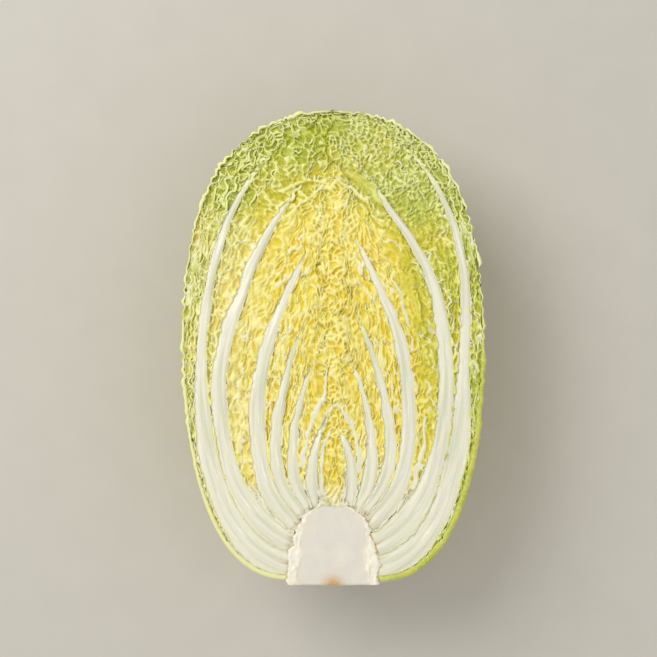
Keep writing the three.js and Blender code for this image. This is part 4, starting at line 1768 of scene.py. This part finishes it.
@dataclass
class Graph:
    """A node tree that is being wired."""

    tree: bpy.types.NodeTree

    def wire(self, node: Node, feeds: Feeds) -> Node:
        """Links a node's inputs to other sockets, or sets their constants.

        Args:
            node: the node.
            feeds: what each input gets: a socket, a colour, a vector or a number.

        Returns:
            The same node.
        """
        for place, source in feeds.items():
            socket = node.inputs[place]
            if isinstance(source, Socket):
                self.tree.links.new(source, socket)
            else:
                socket.default_value = (*source, 1.0) if socket.type == "RGBA" else source
        return node

    def add(self, kind: str, feeds: Feeds | None = None, **settings: object) -> Node:
        """A new node.

        Args:
            kind: its type.
            feeds: what its inputs get.
            settings: its settings.

        Returns:
            The node.
        """
        node = self.tree.nodes.new(kind)
        for name, value in settings.items():
            setattr(node, name, value)
        return self.wire(node, feeds or {})

    def group(self, name: str, **constants: float) -> Node:
        """A new node that holds one of the groups below."""
        return self.add("ShaderNodeGroup", constants, node_tree=bpy.data.node_groups[name])

    def blend(self, share: object, first: object, second: object) -> Socket:
        """A colour at a share of the way from the first to the second."""
        return self.add("ShaderNodeMix", {0: share, 6: first, 7: second}, data_type="RGBA").outputs[2]

    def math(self, kind: str, first: object, second: object, clamp: bool = False) -> Socket:
        """One step of arithmetic, kept between 0 and 1 where it is clamped."""
        return self.add("ShaderNodeMath", {0: first, 1: second}, operation=kind, use_clamp=clamp).outputs[0]

    def mark(self, name: str) -> Socket:
        """A value that the mesh carries at each point."""
        return self.add("ShaderNodeAttribute", attribute_name=name, attribute_type="GEOMETRY").outputs["Fac"]

    def step(self, value: object, low: float, high: float) -> Socket:
        """0 below low, 1 above high, and an easy curve between."""
        feeds = {"Value": value, "From Min": low, "From Max": high}
        return self.add("ShaderNodeMapRange", feeds, interpolation_type="SMOOTHSTEP").outputs["Result"]

    def bump(self, height: object, strength: float, distance: float) -> Socket:
        """The normal, bent by a fine relief."""
        feeds = {"Height": height, "Strength": strength, "Distance": distance}
        return self.add("ShaderNodeBump", feeds).outputs[0]


def new_group(name: str, inputs: dict[str, float], outputs: tuple[str, ...]) -> tuple[Graph, Node, Node]:
    """A shader node group with named number sockets.

    Args:
        name: the group's name.
        inputs: each input's name and default.
        outputs: each output's name.

    Returns:
        The group's graph, its input node and its output node.
    """
    tree = bpy.data.node_groups.new(name, "ShaderNodeTree")
    for label, value in inputs.items():
        socket = tree.interface.new_socket(name=label, in_out="INPUT", socket_type="NodeSocketFloat")
        socket.default_value = value
    for label in outputs:
        tree.interface.new_socket(name=label, in_out="OUTPUT", socket_type="NodeSocketFloat")
    graph = Graph(tree)
    return graph, graph.add("NodeGroupInput"), graph.add("NodeGroupOutput")


def make_strands() -> None:
    """The group for fine strands that run along a leaf: streaks on its own UV map."""
    graph, given, made = new_group("strands", {"Across": 1400.0, "Along": 28.0}, ("Streak",))
    parts = graph.add("ShaderNodeSeparateXYZ", {0: graph.add("ShaderNodeUVMap", uv_map="UVMap").outputs[0]})
    scaled = {
        axis: graph.math("MULTIPLY", parts.outputs[axis], given.outputs[label])
        for axis, label in enumerate(("Along", "Across"))
    }
    place = graph.add("ShaderNodeCombineXYZ", scaled).outputs[0]
    noise = graph.add("ShaderNodeTexNoise", {"Vector": place, "Scale": 1.0, "Detail": 3.0})
    graph.wire(made, {"Streak": noise.outputs["Fac"]})


def make_mottle() -> None:
    """The group for soft patches and a fine speckle on Object coordinates."""
    graph, given, made = new_group("mottle", {"Patch": 120.0, "Speck": 900.0}, ("Patches", "Specks"))
    place = graph.add("ShaderNodeTexCoord").outputs["Object"]
    for label, source in (("Patches", "Patch"), ("Specks", "Speck")):
        feeds = {"Vector": place, "Scale": given.outputs[source], "Detail": 3.0}
        graph.wire(made, {label: graph.add("ShaderNodeTexNoise", feeds).outputs["Fac"]})


def make_vein_net() -> None:
    """The group for the fine net of veins in a blade."""
    graph, given, made = new_group("vein_net", {"Scale": 260.0}, ("Vein",))
    feeds = {"Vector": graph.add("ShaderNodeTexCoord").outputs["Object"], "Scale": given.outputs["Scale"]}
    cells = graph.add("ShaderNodeTexVoronoi", feeds, feature="DISTANCE_TO_EDGE")
    graph.wire(made, {"Vein": graph.step(cells.outputs["Distance"], 0.09, 0.0)})


def new_finish(name: str) -> tuple[bpy.types.Material, Graph, Node]:
    """A new material.

    Args:
        name: its name.

    Returns:
        The material, its graph and its shader.
    """
    material = bpy.data.materials.new(name)
    material.use_nodes = True
    return material, Graph(material.node_tree), material.node_tree.nodes["Principled BSDF"]


@dataclass(frozen=True)
class LeafFinish:
    """Leaf tissue: a white rib with painted highlight streaks, and a blade between yellow and green with pale
    cut edges and painted shade in its hollows.
    """

    name: str
    yellow_face: Colour = (0.82, 0.68, 0.07)
    yellow_rim: Colour = (0.88, 0.82, 0.36)
    # Painted shade for the yellow blade: darker and more saturated, for hollows and depth below the cut.
    yellow_deep: Colour = (0.76, 0.58, 0.008)
    yellow_warm: Colour = (0.86, 0.66, 0.30)
    green_face: Colour = (0.61, 0.635, 0.09)
    green_rim: Colour = (0.81, 0.83, 0.43)
    # Painted shade for the green blade, which also gives the outermost leaf's lime rind its darker green.
    green_deep: Colour = (0.37, 0.41, 0.004)
    brown: Colour = (0.52, 0.32, 0.13)
    rib: Colour = (0.77, 0.745, 0.605)
    rib_shade: Colour = (0.64, 0.645, 0.475)
    # Painted highlight colour for glints along the ribs' moist strands.
    rib_painted_highlight: Colour = (0.90, 0.87, 0.78)
    coat: float = 0.15
    coat_roughness: float = 0.3
    roughness: float = 0.38
    specular: float = 0.36
    glow: float = 0.35
    glow_colour: Colour = (1.0, 0.85, 0.3)
    glow_reach: float = 2 * MM
    net: float = 0.3
    relief: float = 0.35

    def build(self) -> bpy.types.Material:
        """The finish as a material.

        Returns:
            The material.
        """
        material, graph, shader = new_finish(self.name)
        mottle, net = graph.group("mottle"), graph.group("vein_net")
        strands = graph.group("strands", Across=760.0, Along=40.0)
        broad = graph.group("strands", Across=330.0, Along=15.0)
        patches, specks = mottle.outputs["Patches"], mottle.outputs["Specks"]
        patchy = graph.math("MULTIPLY", graph.math("SUBTRACT", patches, 0.5), 0.3)
        green = graph.math("ADD", graph.mark("green"), patchy, True)
        face = graph.blend(green, self.yellow_face, self.green_face)
        rim = graph.blend(green, self.yellow_rim, self.green_rim)
        deep = graph.blend(green, self.yellow_deep, self.green_deep)
        # Painted shade: the colour darkens towards the shade colours where the mark is high, and on the
        # outermost leaf's lime rind.
        colour = graph.blend(graph.mark("deep"), face, deep)
        colour = graph.blend(graph.math("MULTIPLY", net.outputs["Vein"], self.net), colour, rim)
        colour = graph.blend(graph.math("MULTIPLY", graph.mark("rim"), 0.9), colour, rim)
        yellow = graph.math("SUBTRACT", 0.55, green, True)
        warm = graph.math("MULTIPLY", graph.step(specks, 0.52, 0.7), yellow, True)
        colour = graph.blend(warm, colour, self.yellow_warm)
        rib = graph.blend(graph.step(broad.outputs["Streak"], 0.42, 0.68), self.rib, self.rib_shade)
        # Painted highlight: pale streaks along the rib's strands stand for glints on its moist fibres.
        rib = graph.blend(graph.step(strands.outputs["Streak"], 0.56, 0.74), rib, self.rib_painted_highlight)
        colour = graph.blend(graph.mark("white"), colour, rib)
        rough = graph.math("ADD", graph.math("MULTIPLY", specks, 0.25), self.roughness)
        height = graph.math("MULTIPLY", strands.outputs["Streak"], 0.6)
        height = graph.math("ADD", height, graph.math("MULTIPLY", specks, 0.4))
        graph.wire(shader, {
            "Base Color": graph.blend(graph.mark("stain"), colour, self.brown),
            "Roughness": graph.math("SUBTRACT", rough, graph.math("MULTIPLY", graph.mark("white"), 0.2)),
            "Coat Weight": self.coat,
            "Coat Roughness": self.coat_roughness,
            "Specular IOR Level": self.specular,
            "Subsurface Weight": self.glow,
            "Subsurface Radius": self.glow_colour,
            "Subsurface Scale": self.glow_reach,
            "Normal": graph.bump(height, self.relief, 0.4 * MM),
        })
        return material


@dataclass(frozen=True)
class CoreFinish:
    """The core's moist pith, torn white sides and brown spots."""

    name: str = "cut_core"
    pith: Colour = (0.71, 0.67, 0.585)
    torn: Colour = (0.85, 0.81, 0.66)
    brown: Colour = (0.58, 0.36, 0.10)
    peach: Colour = (0.80, 0.68, 0.50)
    coat: float = 0.35
    coat_roughness: float = 0.22
    roughness: float = 0.3
    glow: float = 0.3
    glow_colour: Colour = (1.0, 0.9, 0.7)
    glow_reach: float = 3 * MM
    relief: float = 0.3

    def build(self) -> bpy.types.Material:
        """The finish as a material.

        Returns:
            The material.
        """
        material, graph, shader = new_finish(self.name)
        mottle, strands = graph.group("mottle"), graph.group("strands", Across=900.0, Along=120.0)
        patches, specks = mottle.outputs["Patches"], mottle.outputs["Specks"]
        colour = graph.blend(graph.mark("white"), self.pith, self.torn)
        lighter = graph.math("MULTIPLY", graph.step(patches, 0.4, 0.75), 0.25)
        colour = graph.blend(lighter, colour, self.torn)
        warmer = graph.math("MULTIPLY", graph.mark("rim"), graph.step(patches, 0.3, 0.7))
        colour = graph.blend(graph.math("MULTIPLY", warmer, 0.5), colour, self.peach)
        stained = graph.math("MULTIPLY", graph.mark("stain"), graph.step(specks, 0.1, 0.5), True)
        graph.wire(shader, {
            "Base Color": graph.blend(stained, colour, self.brown),
            "Roughness": graph.math("ADD", graph.math("MULTIPLY", specks, 0.3), self.roughness),
            "Coat Weight": self.coat,
            "Coat Roughness": self.coat_roughness,
            "Subsurface Weight": self.glow,
            "Subsurface Radius": self.glow_colour,
            "Subsurface Scale": self.glow_reach,
            "Normal": graph.bump(strands.outputs["Streak"], self.relief, 0.4 * MM),
        })
        return material


# ---- The head ----


@dataclass
class Head:
    """All pieces of the half head, each standing for its own node of the frame."""

    nest: Nest = field(default_factory=Nest)

    def __post_init__(self) -> None:
        """Plans the cut face and mixes the finishes."""
        self.plan = CutPlan(self.nest)
        self.folds = Folds(self.nest, self.plan)
        self.bed = Bed(self.nest, self.plan)
        make_strands()
        make_mottle()
        make_vein_net()
        self.finishes = {
            Slot.GREEN: LeafFinish("green_leaf").build(),
            Slot.PALE: LeafFinish("pale_leaf").build(),
            Slot.YELLOW: LeafFinish("yellow_leaf").build(),
            Slot.CORE: CoreFinish().build(),
        }

    def build(self) -> None:
        """Builds every piece from the outside in."""
        outer = OuterLeaf(self.nest, self.plan).skin().build("outer")
        folded = [piece for side, leaves in HALVES for piece in self._packed(Gap(side, OUTER, leaves[0]), 2)]
        self._finish([outer, *folded], OUTER.node, OUTER.slot)
        for side, leaves in HALVES:
            for order, leaf in enumerate(leaves):
                skins = [SideLeaf(self.nest, self.plan, leaf, side).skin().build("blade")]
                if leaf is leaves[-1]:
                    skins += self._packed(Gap(side, leaf, BUD), 19)
                elif side is Side.LEFT:
                    skins.append(self.bed.over_axis(self._tip(order + 1), self._tip(order)))
                self._finish(skins, leaf.node, leaf.slot)
        for order, leaf in enumerate(BACK_LEAVES):
            skins = [BackLeaf(self.nest, self.plan, leaf).skin().build("blade")]
            for side, leaves in HALVES:
                skins += self._packed(Gap(side, leaves[order], leaves[order + 1]), 3 + order)
            self._finish(skins, leaf.node, leaf.slot)
        self._finish([Core(self.nest).skin().build("core")], "core", Slot.CORE)
        heart = self.bed.over_axis(BUD_FOOT, self._tip(len(LEFT_LEAVES) - 1))
        self._finish([Bud(self.nest).skin().build("bud"), heart], BUD.node, BUD.slot)

    def _tip(self, order: int) -> float:
        """How far up the axis a pair of side leaves ends."""
        size = (LEFT_LEAVES[order].cut.sizes[-1] + RIGHT_LEAVES[order].cut.sizes[-1]) / 2
        return float(self.nest.on_line(size, np.array(1.0))[1])

    def _packed(self, gap: Gap, seed: int) -> list[Piece]:
        """What fills the space between two ribs at the cut.

        Args:
            gap: the space.
            seed: makes its contents its own.

        Returns:
            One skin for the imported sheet, and one for each fold next to the outermost leaf.
        """
        bed = self.bed.between(gap, seed * 5 + (gap.side is Side.LEFT))
        return [bed, *(self.folds.between(gap, seed) if gap.high is OUTER else [])]

    def _finish(self, skins: list[Piece], node: str, slot: Slot) -> None:
        """Joins a piece, dresses it and puts it in the place of its node.

        Args:
            skins: the piece's skins, its own leaf's first.
            node: the frame's node that it stands for.
            slot: the record's slot for its finish.
        """
        piece = joined(skins, f"{node}_dressed")
        piece.data.materials.clear()
        piece.data.materials.append(self.finishes[slot])
        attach(piece, "root")
        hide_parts(node)
        LOG.info("%s: %d faces", piece.name, len(piece.data.polygons))


# ---- The studio ----


@dataclass
class Studio:
    """A pale floor, soft light, and a camera that looks straight down."""

    floor_colour: Colour = (0.56, 0.53, 0.47)
    camera_height: float = 911 * MM
    aim_x: float = -2.9 * MM
    aim_y: float = 11.7 * MM
    lens: float = 85.0
    sensor: float = 36.0
    floor_side: float = 3.0
    sky: Colour = (1.0, 0.99, 0.97)
    sky_strength: float = 0.68

    def build(self, cut_z: float) -> None:
        """Makes the floor, the lamps, the sky and the camera.

        Args:
            cut_z: height of the cut face, from which the camera's height counts.
        """
        bpy.ops.object.select_all(action="DESELECT")
        bpy.ops.mesh.primitive_plane_add(size=self.floor_side, location=(0, 0, 0))
        floor = bpy.context.object
        floor.name = "floor"
        floor.data.materials.append(self._floor_finish())
        self._lamp("key", (-0.85, 0.7, 1.25), 0.9, 15.0)
        self._lamp("fill", (0.9, -0.5, 1.3), 1.4, 2.0)
        world = bpy.data.worlds.new("sky")
        bpy.context.scene.world = world
        world.use_nodes = True
        light = world.node_tree.nodes["Background"]
        Graph(world.node_tree).wire(light, {"Color": self.sky, "Strength": self.sky_strength})
        bpy.context.scene.view_settings.view_transform = "Standard"
        above = (self.aim_x, self.aim_y, cut_z + self.camera_height)
        bpy.ops.object.camera_add(location=above, rotation=(0, 0, 0))
        camera = bpy.context.object
        camera.data.lens = self.lens
        camera.data.sensor_width = self.sensor
        bpy.context.scene.camera = camera

    def _floor_finish(self) -> bpy.types.Material:
        """Matt pale grey with a faint mottle.

        Returns:
            The material.
        """
        material, graph, shader = new_finish("floor")
        patches = graph.group("mottle", Patch=40.0).outputs["Patches"]
        darker = tuple(0.93 * part for part in self.floor_colour)
        graph.wire(shader, {"Base Color": graph.blend(patches, self.floor_colour, darker), "Roughness": 0.85})
        return material

    def _lamp(self, name: str, place: tuple[float, float, float], size: float, power: float) -> None:
        """A large soft lamp aimed at the head.

        Args:
            name: the lamp's name.
            place: where it stands.
            size: its side.
            power: its power in watts.
        """
        bpy.ops.object.light_add(type="AREA", location=place)
        lamp = bpy.context.object
        lamp.name = name
        lamp.data.size = size
        lamp.data.energy = power
        x, y, z = place
        lamp.rotation_euler = (math.acos(z / math.hypot(x, y, z)), 0, math.atan2(y, x) + math.pi / 2)


def main() -> None:
    """Builds the head and its studio; each dressed piece's face count goes to the log as it is made."""
    logging.basicConfig(level=logging.INFO, format="%(message)s")
    head = Head()
    head.build()
    Studio().build(head.nest.cut_z)
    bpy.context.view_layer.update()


if __name__ == "__main__":
    main()
